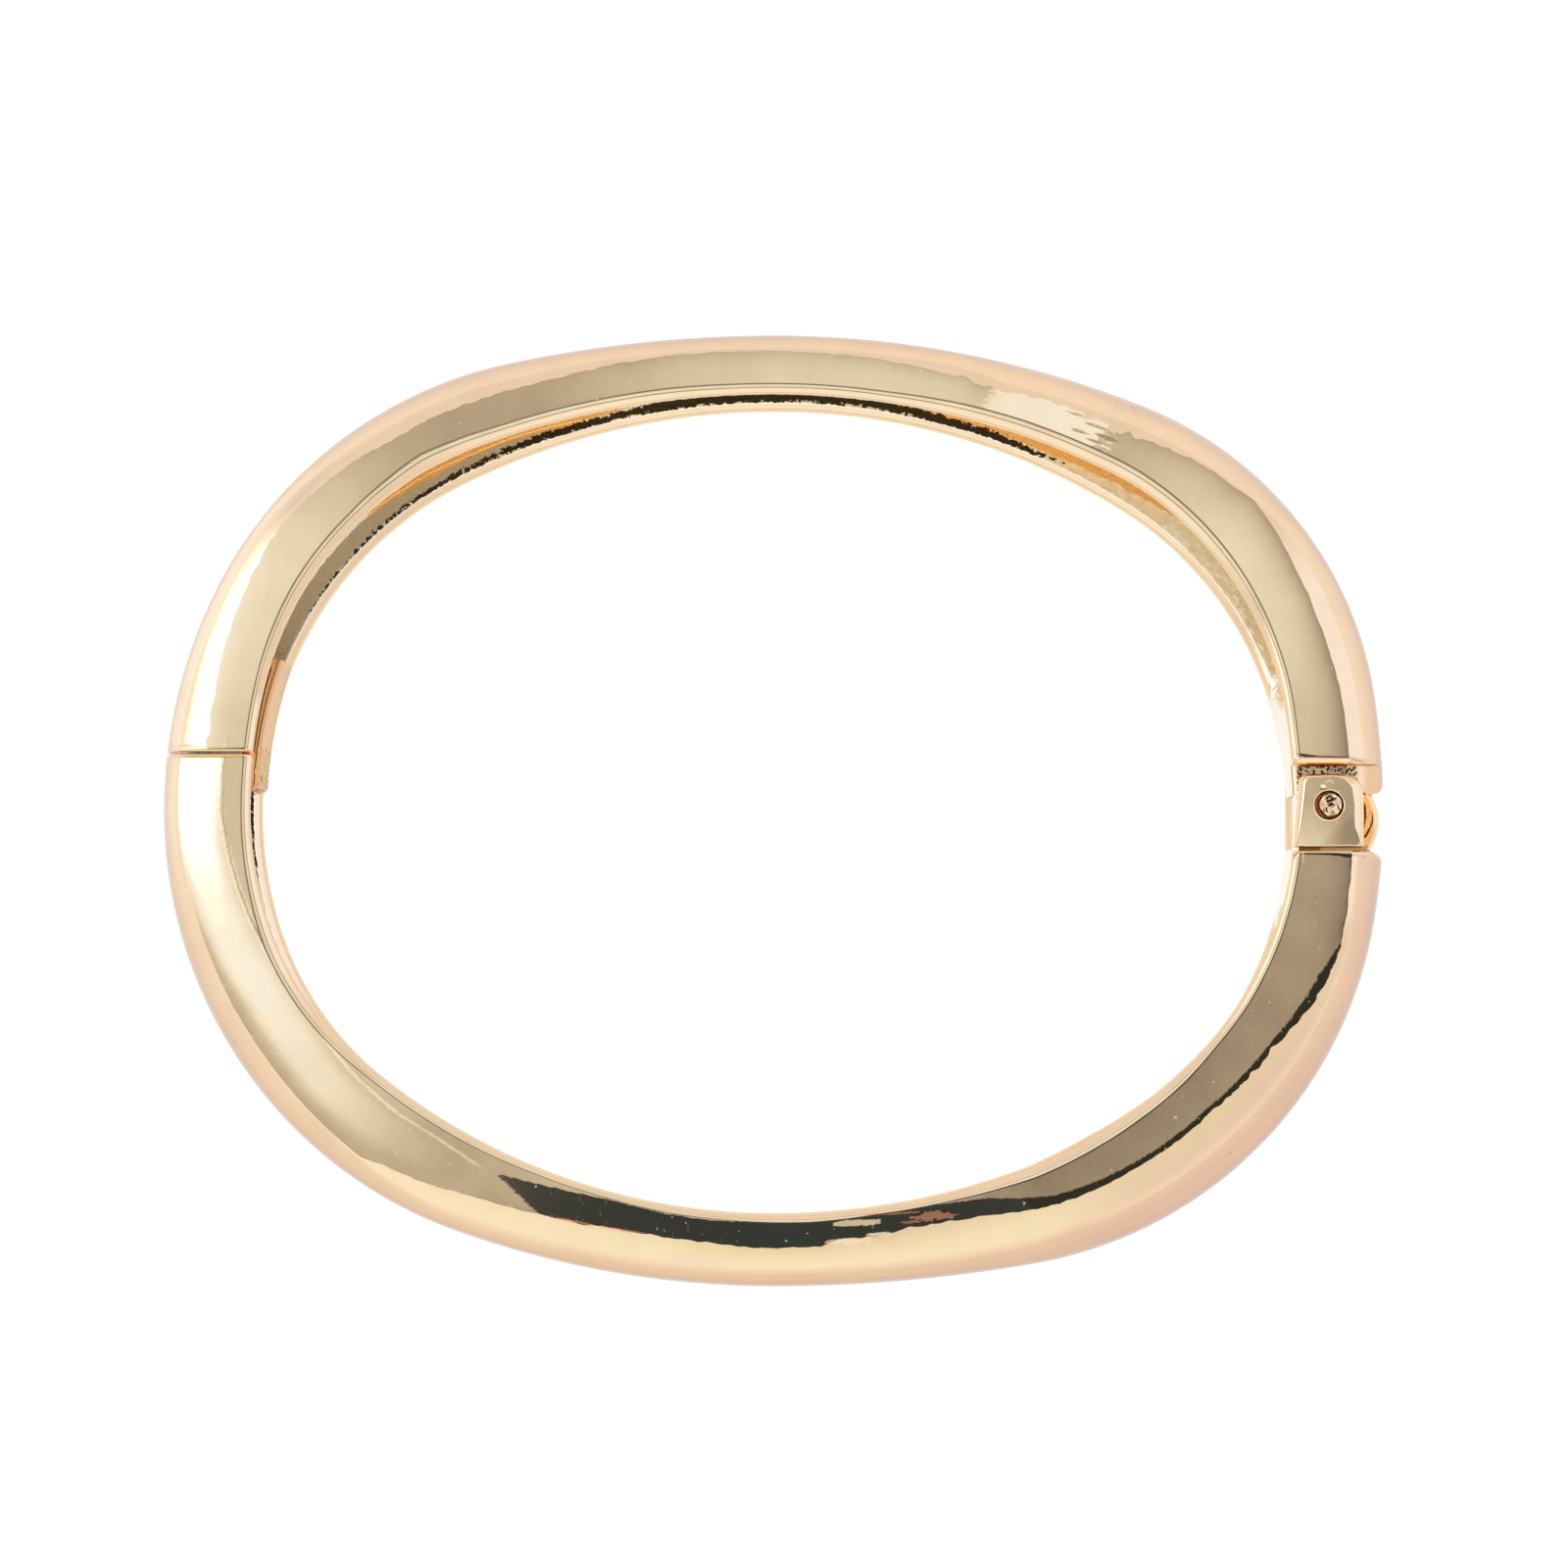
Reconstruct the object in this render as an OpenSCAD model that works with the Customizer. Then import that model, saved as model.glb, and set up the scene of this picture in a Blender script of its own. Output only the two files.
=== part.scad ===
// Hinged oval bangle, lying flat on one of its side faces.
// Origin: on the floor, under the middle of the oval. +X points to the hinge, +Y to the
// upper half, +Z up along the axis of the wrist opening.

/* [Band] */
// Outside width of the oval, from clasp to hinge
outer_w = 68.8; // [68.4:0.1:69.2]
// Outside height of the oval, across the two halves
outer_h = 53.7; // [53.3:0.1:54.1]
// Width of the band along the arm
band_w = 8; // [7.8:0.1:8.2]
// Radius of the gentle crown of the outer face
crown_r = 8; // [7.6:0.2:8.4]
// Radius that rounds the outer face into the flat side faces
shoulder_r = 1.7; // [1.5:0.1:1.9]

/* [Wrist opening] */
// Half width of the opening, at the far lip and at the hinge
open_a = 29.25; // [29.1:0.05:29.4]
// Half width of the opening, at the near lip
near_a = 29.15; // [29:0.05:29.25]
// Height of the near lip's opening above the middle
near_top = 23.15; // [23:0.05:23.3]
// Depth of the near lip's opening below the middle
near_bottom = 22.7; // [22.5:0.05:22.9]
// Height of the far lip's opening above the middle
far_top = 22.95; // [22.75:0.05:23.15]
// Depth of the far lip's opening below the middle
far_bottom = 22.9; // [22.7:0.05:23.1]

/* [Channel behind the lips] */
// Thickness of each lip, along the arm
lip_t = 1.3; // [1.2:0.05:1.4]
// Thickness of the outer wall at the crown
wall_t = 1.2; // [1.1:0.1:1.3]
// Radius in the corners of the channel
channel_r = 0.9; // [0.7:0.1:1.1]
// Radius that rounds both edges of each lip
nose_r = 0.45; // [0.35:0.05:0.55]
// Distance above or below the middle at which the channels stop short of the hinge
channel_hinge_y = 7; // [6.5:0.1:8]
// Height above the middle at which the upper channel stops short of the clasp
channel_clasp_y = 8.2; // [7.5:0.1:9]

/* [Clasp] */
// Height of the clasp's seam above the middle
seam_y = 3.03; // [2.8:0.01:3.2]
// Width of the seam's gap
seam_gap = 0.12; // [0.08:0.01:0.15]
// Length of the tongue past the seam
tongue_l = 2.05; // [1.8:0.05:2.3]
// Thickness of the tongue
tongue_t = 1; // [0.8:0.1:1.2]
// How far the tongue stands proud of the far lip, into the opening
tongue_proud = 0.35; // [0.3:0.05:0.4]
// Gap between the tongue and each lip
tongue_gap = 0.1; // [0.06:0.02:0.14]
// Radius of the curve that the tongue follows
tongue_r = 25; // [24:0.5:28]
// Radius of the tongue's inner end corner
tongue_corner_r = 0.4; // [0.3:0.05:0.5]

/* [Hinge] */
// Distance of the hinge pin from the middle
pin_x = 30.97; // [30.9:0.01:31.05]
// Height of the hinge pin above the middle
pin_y = 0.08; // [0:0.01:0.15]
// Diameter of the hinge pin
pin_d = 1.2; // [1.1:0.05:1.3]
// Running gap round the pin in the knuckle
pin_gap = 0.04; // [0.02:0.01:0.08]
// Gap round the pin where the ears hold it
pin_hold_gap = 0.01; // [0.01:0.005:0.02]
// How far each end of the pin lies below the side face
pin_inset = 0.12; // [0.05:0.01:0.2]
// Diameter of the sink round each end of the pin
sink_d = 1.6; // [1.5:0.05:1.7]
// Depth of the sink round each end of the pin
sink_h = 0.4; // [0.3:0.05:0.5]
// Gap between the knuckle and each ear
ear_gap = 0.1; // [0.06:0.02:0.14]
// Half width of each ear
ear_half = 1.85; // [1.8:0.01:1.88]
// Height of each ear's top above the pin
ear_top = 1.75; // [1.7:0.01:1.8]
// Radius of each ear's top corner on the side of the wrist
ear_inner_r = 0.6; // [0.55:0.01:0.65]
// Radius of each ear's top corner on the outside
ear_outer_r = 1.15; // [1.12:0.01:1.3]
// Distance of each ear's middle line outward from the pin
ear_shift = 0.13; // [0.1:0.01:0.16]
// Height of the upper half's end faces above the middle
upper_end_y = 2.3; // [2.25:0.05:2.4]
// Depth of the ears' foot below the middle
ear_foot_y = 2.35; // [2.3:0.05:2.45]
// Half width, and depth, of the groove across each ear's foot
groove_d = 0.2; // [0.1:0.05:0.25]
// Radius of the knuckle where the lower half sweeps past it
knuckle_r = 3.65; // [3.6:0.01:3.68]
// Radius of the knuckle's outer bulge
bulge_r = 3; // [2.95:0.05:3.05]
// Distance of the bulge's centre from the middle
bulge_x = 30.97; // [30.95:0.01:31]
// Depth of the bulge's centre below the middle
bulge_y = 0.75; // [0.7:0.05:0.8]
// Height at which the upper half's shell steps down to the knuckle
lobe_y = 0.7; // [0.65:0.05:0.8]
// Gap between the knuckle and the lower half
sweep_gap = 0.15; // [0.1:0.01:0.2]
// Depth of the lower half's outer end below the middle
lower_end_y = 2.45; // [2.4:0.05:2.5]
// Radius of the lower half's outer end corner
end_corner_r = 0.65; // [0.5:0.05:0.7]

/* [Hidden] */
$fn = 180;
gold = "#d8bd8c";
pin_gold = "#c9a875";

// Corner rows: corner radius, angle where the side arc ends, angle where the top arc starts.
// Each table has one row for each corner: upper right, upper left, lower left, lower right.
OUTER = [[21, 8, 68], [24, 26, 78], [24.5, 40, 70], [23.5, 10, 80]];
NEAR = [[18, 8, 64], [19, 12, 70], [16.5, 24, 48], [21, 26, 68]];
FAR = [[19.5, 22, 58], [20.5, 32, 64], [18, 16, 52], [19, 8, 62]];

// Arcs of each half: a corner's number and which of its arcs are used.
// The lower half borrows both upper side arcs, because it ends above the middle.
ALL_ARCS = [0, 1, 2];
SIDE_ARC = [0];
UPPER = [[0, ALL_ARCS], [1, ALL_ARCS]];
LOWER = [[0, SIDE_ARC], [1, SIDE_ARC], [2, ALL_ARCS], [3, ALL_ARCS]];

half_w = band_w / 2;
outer_a = outer_w / 2;
outer_b = outer_h / 2;
// Lengths that only have to reach past what they cut
flat_l = 5.3;
hole_l = 6;
far_off = 60;
overlap = 0.5;

// The channel's section is the band's section, one wall smaller
channel_crown_r = crown_r - wall_t;
channel_half_w = half_w - lip_t;

knuckle_z = lip_t + ear_gap;
knuckle_h = band_w - 2 * knuckle_z;
seam_half = seam_gap / 2;

// Places a shape in two steps, whole hundredths and then the rest, so that the arcs of an
// outline meet exactly.
module place(x, y) {
    coarse = [round(x * 100) / 100, round(y * 100) / 100];
    translate(coarse)
        translate([x, y] - coarse)
            children();
}

// The three arcs of one quarter of an oval, each as [centre x, centre y, radius, start, end]:
// the side arc, the corner arc and the top arc, which meet in common tangents. Both outer
// radii follow from the two half axes.
function quarter_arcs(a, b, row) =
    let (
        r = row[0],
        c1 = cos(row[1]),
        s1 = sin(row[1]),
        c2 = cos(row[2]),
        s2 = sin(row[2]),
        across = r * (c1 - c2) - a,
        along = r * (s1 - s2) + b,
        det = (c1 - 1) * (1 - s2) + c2 * s1,
        side = (across * (1 - s2) + c2 * along) / det,
        top = ((c1 - 1) * along - s1 * across) / det
    )
    [
        [a - side, 0, side, 0, row[1]],
        [a - side + (side - r) * c1, (side - r) * s1, r, row[1], row[2]],
        [0, b - top, top, row[2], 90]
    ];

// Turns a shape of the first quarter into the quarter of corner i
module to_corner(i) {
    mirror([(i == 1 || i == 2) ? 1 : 0, 0, 0])
        mirror([0, (i >= 2) ? 1 : 0, 0])
            children();
}

// Sweeps a section along some arcs of an oval. In the section, x = 0 is the outline, -x is
// towards the wrist and y is the height.
module sweep(arcs_used, a, top, bottom, rows) {
    for (use = arcs_used)
        to_corner(use[0]) {
            arcs = quarter_arcs(a, use[0] < 2 ? top : bottom, rows[use[0]]);
            for (i = use[1])
                place(arcs[i][0], arcs[i][1])
                    rotate_extrude(angle = arcs[i][4] - arcs[i][3], start = arcs[i][3])
                        place(arcs[i][2], 0)
                            children();
        }
}

// A rounded section: the crown, two shoulders that run into it, and flat sides
module rounded_section(crown, shoulder, half) {
    rise = half - shoulder;
    run = sqrt(pow(crown - shoulder, 2) - pow(rise, 2));
    reach = 2;
    translate([0, half_w]) {
        place(-crown_r + run, 0) {
            translate([-flat_l, -half])
                square([flat_l, 2 * half]);
            for (s = [-1, 1])
                translate([0, s * rise])
                    circle(shoulder);
        }
        intersection() {
            translate([-crown_r, 0])
                circle(crown);
            translate([-crown_r, 0])
                polygon([[0, 0], [reach * run, reach * rise], [reach * run, -reach * rise]]);
        }
    }
}

// What is cut away inside a lip: the opening, and the rounding of the lip's two edges.
// The lip lies between heights z and z + lip_t, and the opening between z0 and z1.
module lip_cut(z, z0, z1) {
    translate([-hole_l, z0])
        square([hole_l, z1 - z0]);
    difference() {
        translate([0, z])
            square([nose_r, nose_r]);
        translate([nose_r, z + nose_r])
            circle(nose_r);
    }
    difference() {
        translate([0, z + lip_t - nose_r])
            square([nose_r, nose_r]);
        translate([nose_r, z + lip_t - nose_r])
            circle(nose_r);
    }
}

// The whole band along some arcs, open where the wrist goes, with both lips
module band(arcs_used) {
    difference() {
        sweep(arcs_used, outer_a, outer_b, outer_b, OUTER)
            rounded_section(crown_r, shoulder_r, half_w);
        sweep(arcs_used, near_a, near_top, near_bottom, NEAR)
            lip_cut(band_w - lip_t, half_w, band_w + 1);
        sweep(arcs_used, open_a, far_top, far_bottom, FAR)
            lip_cut(0, -1, half_w);
    }
}

// The open channel between the lips, along some arcs
module channel(arcs_used) {
    sweep(arcs_used, outer_a, outer_b, outer_b, OUTER)
        rounded_section(channel_crown_r, channel_r, channel_half_w);
}

// A box that holds everything between two heights y, on the side of the hinge or the clasp
module side_box(side, y0, y1, z0 = -1, z1 = band_w + 1) {
    translate([side > 0 ? 0 : -far_off, y0, z0])
        cube([far_off, y1 - y0, z1 - z0]);
}

// Outline of the knuckle, seen along the pin
module knuckle_outline() {
    difference() {
        intersection() {
            translate([pin_x, pin_y])
                circle(knuckle_r);
            union() {
                translate([bulge_x, -bulge_y])
                    circle(bulge_r);
                translate([bulge_x - far_off, -far_off / 2])
                    square(far_off);
            }
        }
        translate([open_a - far_off, -far_off / 2])
            square(far_off);
        translate([0, lobe_y + overlap])
            square(far_off);
    }
}

// Outline of an ear, seen along the pin, with what it leaves of the lower half
module ear_outline() {
    left = pin_x + ear_shift - ear_half;
    right = pin_x + ear_shift + ear_half;
    top = pin_y + ear_top;
    translate([left + ear_inner_r, top - ear_inner_r])
        circle(ear_inner_r);
    translate([right - ear_outer_r, top - ear_outer_r])
        circle(ear_outer_r);
    translate([left + ear_inner_r, pin_y])
        square([2 * ear_half - ear_inner_r - ear_outer_r, ear_top]);
    translate([left, -far_off / 2])
        square([2 * ear_half - ear_outer_r, far_off / 2 + top - ear_inner_r]);
    translate([left + ear_inner_r, -far_off / 2])
        square([2 * ear_half - ear_inner_r, far_off / 2 + top - ear_outer_r]);
    translate([0, -far_off - ear_foot_y])
        square(far_off);
}

module tongue() {
    centre_x = tongue_r + tongue_proud - open_a;
    end_y = seam_y - tongue_l;
    translate([0, 0, lip_t + tongue_gap])
        linear_extrude(band_w - 2 * (lip_t + tongue_gap))
            difference() {
                intersection() {
                    translate([centre_x, 0])
                        difference() {
                            circle(tongue_r + tongue_t);
                            circle(tongue_r);
                        }
                    translate([-far_off, end_y])
                        square([far_off, channel_clasp_y - end_y]);
                }
                translate([centre_x - tongue_r, end_y])
                    difference() {
                        translate([-tongue_corner_r, -1])
                            square([2 * tongue_corner_r, 1 + tongue_corner_r]);
                        translate([-tongue_corner_r, tongue_corner_r])
                            circle(tongue_corner_r);
                    }
            }
}

module pin_bore(gap) {
    translate([pin_x, pin_y, -1])
        cylinder(h = band_w + 2, d = pin_d + 2 * gap);
}

module upper_half() {
    color(gold)
        difference() {
            union() {
                difference() {
                    band(UPPER);
                    side_box(-1, -1, seam_y + seam_half);
                    side_box(1, -1, lobe_y);
                    side_box(1, -1, upper_end_y, z1 = knuckle_z);
                    side_box(1, -1, upper_end_y, z0 = band_w - knuckle_z);
                    difference() {
                        channel(UPPER);
                        side_box(1, -1, channel_hinge_y);
                        side_box(-1, -1, channel_clasp_y);
                    }
                }
                tongue();
                translate([0, 0, knuckle_z])
                    linear_extrude(knuckle_h)
                        knuckle_outline();
            }
            pin_bore(pin_gap);
        }
}

// Room between the ears for the knuckle, with the rounded outer end of the lower half
module knuckle_room_outline() {
    translate([pin_x, pin_y])
        circle(knuckle_r + sweep_gap);
    translate([0, -lower_end_y])
        square(far_off);
    translate([outer_a - end_corner_r, -lower_end_y - end_corner_r])
        difference() {
            square(2 * end_corner_r);
            circle(end_corner_r);
        }
}

module lower_shell() {
    difference() {
        band(LOWER);
        side_box(-1, seam_y - seam_half, far_off);
        difference() {
            channel(LOWER);
            side_box(1, -channel_hinge_y, far_off);
        }
    }
}

// The lower shell with room for the knuckle
module roomy_shell() {
    difference() {
        lower_shell();
        translate([0, 0, lip_t])
            linear_extrude(band_w - 2 * lip_t)
                knuckle_room_outline();
    }
}

// The lower shell with its two ears, still without the grooves and the bore
module eared_shell() {
    difference() {
        roomy_shell();
        for (z = [-1, band_w - lip_t - overlap])
            translate([0, 0, z])
                linear_extrude(lip_t + 1 + overlap)
                    difference() {
                        translate([0, -ear_foot_y])
                            square(far_off);
                        ear_outline();
                    }
    }
}

// A straight groove across the side face at an ear's foot
module foot_groove() {
    side = groove_d * sqrt(2);
    translate([0, -ear_foot_y, 0])
        rotate([45, 0, 0])
            translate([open_a - 1, -side / 2, -side / 2])
                cube([outer_a - open_a + 2, side, side]);
}

module lower_half() {
    color(gold)
        difference() {
            difference() {
                eared_shell();
                foot_groove();
                translate([0, 0, band_w])
                    foot_groove();
            }
            pin_bore(pin_hold_gap);
            for (z = [-1, band_w - sink_h])
                translate([pin_x, pin_y, z])
                    cylinder(h = sink_h + 1, d = sink_d);
        }
}

module hinge_pin() {
    color(pin_gold)
        translate([pin_x, pin_y, pin_inset])
            cylinder(h = band_w - 2 * pin_inset, d = pin_d);
}

upper_half();
lower_half();
hinge_pin();
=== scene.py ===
"""Looks of a hinged oval bangle that lies flat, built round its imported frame.

Every size is in millimetres unless a name says otherwise. The near side is the side face that
looks up at the camera, and the far side is the one on the floor.
"""

from __future__ import annotations

import functools
import logging
import math
from dataclasses import dataclass
from enum import Enum
from typing import Iterable, Sequence, Union

import bpy
import numpy as np
from mathutils import Matrix, Vector

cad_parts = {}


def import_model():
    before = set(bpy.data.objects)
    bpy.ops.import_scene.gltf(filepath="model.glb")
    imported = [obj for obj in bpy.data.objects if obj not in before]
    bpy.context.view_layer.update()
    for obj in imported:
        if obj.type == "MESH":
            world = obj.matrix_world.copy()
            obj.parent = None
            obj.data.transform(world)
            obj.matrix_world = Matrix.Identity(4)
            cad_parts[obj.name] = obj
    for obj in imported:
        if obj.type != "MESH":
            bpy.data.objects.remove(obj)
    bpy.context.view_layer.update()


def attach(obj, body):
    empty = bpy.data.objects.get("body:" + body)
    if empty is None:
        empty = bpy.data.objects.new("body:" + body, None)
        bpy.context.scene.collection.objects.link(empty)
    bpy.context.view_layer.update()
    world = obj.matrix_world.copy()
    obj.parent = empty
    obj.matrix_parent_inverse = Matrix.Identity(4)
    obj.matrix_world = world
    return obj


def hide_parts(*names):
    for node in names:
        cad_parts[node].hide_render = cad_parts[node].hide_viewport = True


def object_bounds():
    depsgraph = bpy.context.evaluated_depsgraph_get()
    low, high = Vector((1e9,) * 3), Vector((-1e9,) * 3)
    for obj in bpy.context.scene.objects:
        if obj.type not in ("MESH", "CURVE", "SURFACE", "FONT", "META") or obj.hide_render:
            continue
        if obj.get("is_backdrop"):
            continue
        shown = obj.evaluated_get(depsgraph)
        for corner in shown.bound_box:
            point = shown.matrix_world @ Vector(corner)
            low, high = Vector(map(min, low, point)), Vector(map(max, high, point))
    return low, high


LOG = logging.getLogger("bangle")

MM = 0.001
SEED = 7

Array = np.ndarray
Colour = tuple[float, float, float]
Number = Union[float, "Socket"]
Pairs = Sequence[tuple[float, float]]
Tones = Sequence[tuple[float, Colour]]
PLAIN: Colour = (1.0, 1.0, 1.0)


# Sizes of the bangle, as in the part's source

BAND_W = 8.0
HALF_W = BAND_W / 2
OUTER_A = 34.393
OUTER_B = 26.843
OPEN_A = 29.25
NEAR_A = 29.15
CROWN_R = 8.0
SHOULDER_R = 1.7
LIP_T = 1.3
WALL_T = 1.2
CHANNEL_R = 0.9
NOSE_R = 0.45
SEAM_Y = 3.03
SEAM_HALF = 0.06
PIN = (30.97, 0.08)
PIN_R = 0.6
SINK_R = 0.8
KNUCKLE_Z = LIP_T + 0.1
UPPER_END_Y = 2.3
LOBE_Y = 0.7
LOWER_END_Y = -2.45
CHANNEL_HINGE_Y = 7.0
CHANNEL_CLASP_Y = 8.3


# Helpers

# Next to nothing, and a distance beyond the part
TINY = 1e-6
FAR_OFF = 99.0


def look_up(rows: Pairs, at: Array, period: float | None = 360) -> Array:
    """Values between the rows of a table.

    Args:
        rows: pairs of place and value.
        at: the places to read.
        period: length after which the table starts again, or None.

    Returns:
        One value for each place.
    """
    return np.interp(at, *zip(*rows), period=period)


def look_up_tone(rows: Tones, at: Array, period: float | None = 360) -> Array:
    """Colours between the rows of a table, as look_up reads values."""
    parts = ([(row[0], row[1][i]) for row in rows] for i in range(3))
    return np.stack([look_up(part, at, period) for part in parts], -1)


def column(rows: Sequence[object], name: str, angle: Array, period: float | None = None) -> Array:
    """Values of one field between rows that each stand at an angle."""
    return look_up([(row.angle, getattr(row, name)) for row in rows], angle, period)


def mix(low: Array, high: Array, share: Array) -> Array:
    """What lies between two values, at a share of the way."""
    return low + (high - low) * share


def ease(share: Array) -> Array:
    """A share from 0 to 1 with a smooth start and end."""
    return share * share * (3 - 2 * share)


def circle(turn: Array) -> Array:
    """Unit vectors in given directions, in radians."""
    return np.stack([np.cos(turn), np.sin(turn)], -1)


def unit(vectors: Array) -> Array:
    """Vectors made one long."""
    return vectors / np.maximum(np.linalg.norm(vectors, axis=-1, keepdims=True), 1e-9)


class Body(Enum):
    """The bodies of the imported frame."""

    UPPER = "upper"
    LOWER = "lower"


class Slot(Enum):
    """The material slots of the record."""

    GOLD = "polished_gold"
    RIVET = "rivet_gold"


@dataclass(frozen=True)
class Corner:
    """One quarter of an oval.

    Args:
        radius: radius of the corner arc.
        side_end: angle where the side arc ends, in degrees.
        top_start: angle where the top arc starts, in degrees.
    """

    radius: float
    side_end: float
    top_start: float


@dataclass(frozen=True)
class PhotoView:
    """The photograph's camera, fitted to the outlines of the bangle.

    Args:
        size: width and height of the picture, in pixels.
        focal: focal length, in pixels.
        nadir: pixel that shows the floor straight below the camera.
        place: the camera's place.
        centre: pixel about which the readings of angle and depth were taken.
        sensor_mm: width of the sensor, in millimetres.
    """

    size: int = 1600
    focal: float = 4755.0
    nadir: tuple[float, float] = (857.0, 1000.0)
    place: tuple[float, float, float] = (3.78, -9.63, 267.0)
    centre: tuple[float, float] = (790.0, 828.0)
    sensor_mm: float = 36.0

    @property
    def face_scale(self) -> float:
        """Pixels per millimetre on the near side face."""
        return self.focal / (self.place[2] - BAND_W)

    def project(self, points: Array) -> tuple[Array, Array]:
        """Angles in degrees and radii in pixels of points, round the readings' centre."""
        scale = self.focal / (self.place[2] - points[..., 2])
        across = self.nadir[0] + (points[..., 0] - self.place[0]) * scale - self.centre[0]
        along = self.centre[1] - self.nadir[1] + (points[..., 1] - self.place[1]) * scale
        return np.degrees(np.arctan2(along, across)) % 360, np.hypot(across, along)

    def read(self, points: Array) -> tuple[Array, Array]:
        """Angles in degrees, and depths in pixels from the outer silhouette.

        Args:
            points: places, with three coordinates.

        Returns:
            One angle and one depth for each point.
        """
        angle, radius = self.project(points)
        return angle, np.interp(angle, *silhouette(), period=360) - radius

    def tilt(self) -> Matrix:
        """The camera's rotation in the row frame."""
        off = [n - self.size / 2 for n in self.nadir]
        down = Vector((off[0], off[1], self.focal)).normalized()
        across = Vector((1, 0, 0))
        across = (across - across.dot(down) * down).normalized()
        up = -down
        along = up.cross(across)
        axes = (across, along, up)
        right = Vector([a.x for a in axes])
        top = -Vector([a.y for a in axes])
        back = -Vector([a.z for a in axes])
        return Matrix((right, top, back)).transposed()


VIEW = PhotoView()


# Outlines

class Oval:
    """A closed oval of twelve tangent arcs, three in each quarter."""

    ROUNDS = 12

    def __init__(self, half: float, top: float, bottom: float, corners: Sequence[Corner]) -> None:
        """Solves the outer radii of each quarter.

        Args:
            half: half width.
            top: height above the middle.
            bottom: depth below the middle.
            corners: upper right, upper left, lower left and lower right corners.
        """
        self.quarters = [
            self._solve(half, top if i < 2 else bottom, corner)
            for i, corner in enumerate(corners)
        ]

    @staticmethod
    def _solve(a: float, b: float, row: Corner) -> tuple[Array, Array, Corner]:
        """Centres and radii of a quarter's arcs."""
        r = row.radius
        c1, s1 = circle(math.radians(row.side_end))
        c2, s2 = circle(math.radians(row.top_start))
        side, top = np.linalg.solve(
            [[c1 - 1, -c2], [s1, 1 - s2]], [r * (c1 - c2) - a, r * (s1 - s2) + b]
        )
        corner = [a - side + (side - r) * c1, (side - r) * s1]
        return np.array([[a - side, 0], corner, [0, b - top]]), np.array([side, r, top]), row

    def point(self, heading: Array) -> tuple[Array, Array]:
        """Points with a given outward normal.

        Args:
            heading: directions of the normals, in degrees.

        Returns:
            The points and their unit normals.
        """
        turn = np.asarray(heading) % 360
        quarter = (turn // 90).astype(int) % 4
        signs = np.array([[1, 1], [-1, 1], [-1, -1], [1, -1]])[quarter]
        normal = circle(np.radians(turn))
        own = np.degrees(np.arctan2(abs(normal[:, 1]), abs(normal[:, 0])))
        points = np.zeros_like(normal)
        for i, (centres, radii, row) in enumerate(self.quarters):
            here = quarter == i
            arc = (own > row.side_end).astype(int) + (own > row.top_start)
            spot = centres[arc] + radii[arc][:, None] * abs(normal)
            points[here] = (spot * signs)[here]
        return points, normal

    def outside(self, points: Array) -> Array:
        """Signed distance of points from the oval, positive outside."""
        result = np.zeros(points.shape[:-1])
        x, y = points[..., 0], points[..., 1]
        quarter = np.where(y >= 0, np.where(x >= 0, 0, 1), np.where(x < 0, 2, 3))
        own = abs(points)
        for i, (centres, radii, row) in enumerate(self.quarters):
            off = own[..., None, :] - centres
            apart = np.linalg.norm(off, axis=-1) - radii
            turn = np.degrees(np.arctan2(off[..., 1], off[..., 0]))
            near_side = turn[..., 0] <= row.side_end
            near_top = turn[..., 2] >= row.top_start
            value = np.where(near_top, apart[..., 2], apart[..., 1])
            result = np.where(quarter == i, np.where(near_side, apart[..., 0], value), result)
        return result

    def depth(self, starts: Array, inward: Array) -> Array:
        """Distance from starts to the oval along inward directions, found in a few steps."""
        t = np.full(len(starts), 3.0)
        for _ in range(self.ROUNDS):
            t += self.outside(starts + t[:, None] * inward)
        return t


# The outer oval, and the ovals of the near and the far lip
OUTER = Oval(OUTER_A, OUTER_B, OUTER_B, (
    Corner(21, 8, 68), Corner(24, 26, 78), Corner(24.5, 40, 70), Corner(23.5, 10, 80)))
NEAR = Oval(NEAR_A, 23.15, 22.7, (
    Corner(18, 8, 64), Corner(19, 12, 70), Corner(16.5, 24, 48), Corner(21, 26, 68)))
FAR = Oval(OPEN_A, 22.95, 22.9, (
    Corner(19.5, 22, 58), Corner(20.5, 32, 64), Corner(18, 16, 52), Corner(19, 8, 62)))


@functools.cache
def silhouette() -> tuple[Array, Array]:
    """Angles and radii of the outer silhouette, as the photograph's camera sees it."""
    turn = np.linspace(0, 360, 1441)[:-1]
    points, normals = OUTER.point(turn)
    levels = []
    for rise in (0.0, 0.5, 1.0, 1.5):
        inset = CROWN_R - math.sqrt(CROWN_R**2 - rise**2)
        level = np.full((len(turn), 1), HALF_W + rise)
        angle, radius = VIEW.project(np.concatenate([points - inset * normals, level], -1))
        order = np.argsort(angle)
        levels.append(np.interp(turn, angle[order], radius[order], period=360))
    return turn, np.max(levels, axis=0)


# Polish of the near side face

@dataclass(frozen=True)
class FaceRow:
    """How the near side face and its shoulder are worked at one angle.

    Depths are in pixels of the photograph, inwards from the outer silhouette.

    Args:
        angle: angle round the middle, in degrees.
        edge: depth at which the rounded shoulder ends.
        rim: depth at which the shoulder is tilted by half a right angle.
        lean: slope of the shoulder where it ends.
        outer: slope of the flat just inside the edge; positive falls outwards.
        inner: slope of the flat at the lip.
        strip: depth to which the flat leans towards the lens; 0 for nowhere.
        ragged: how ragged the edge is.
    """

    angle: float
    edge: float
    rim: float
    lean: float
    outer: float
    inner: float
    strip: float = 0.0
    ragged: float = 0.4


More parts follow.
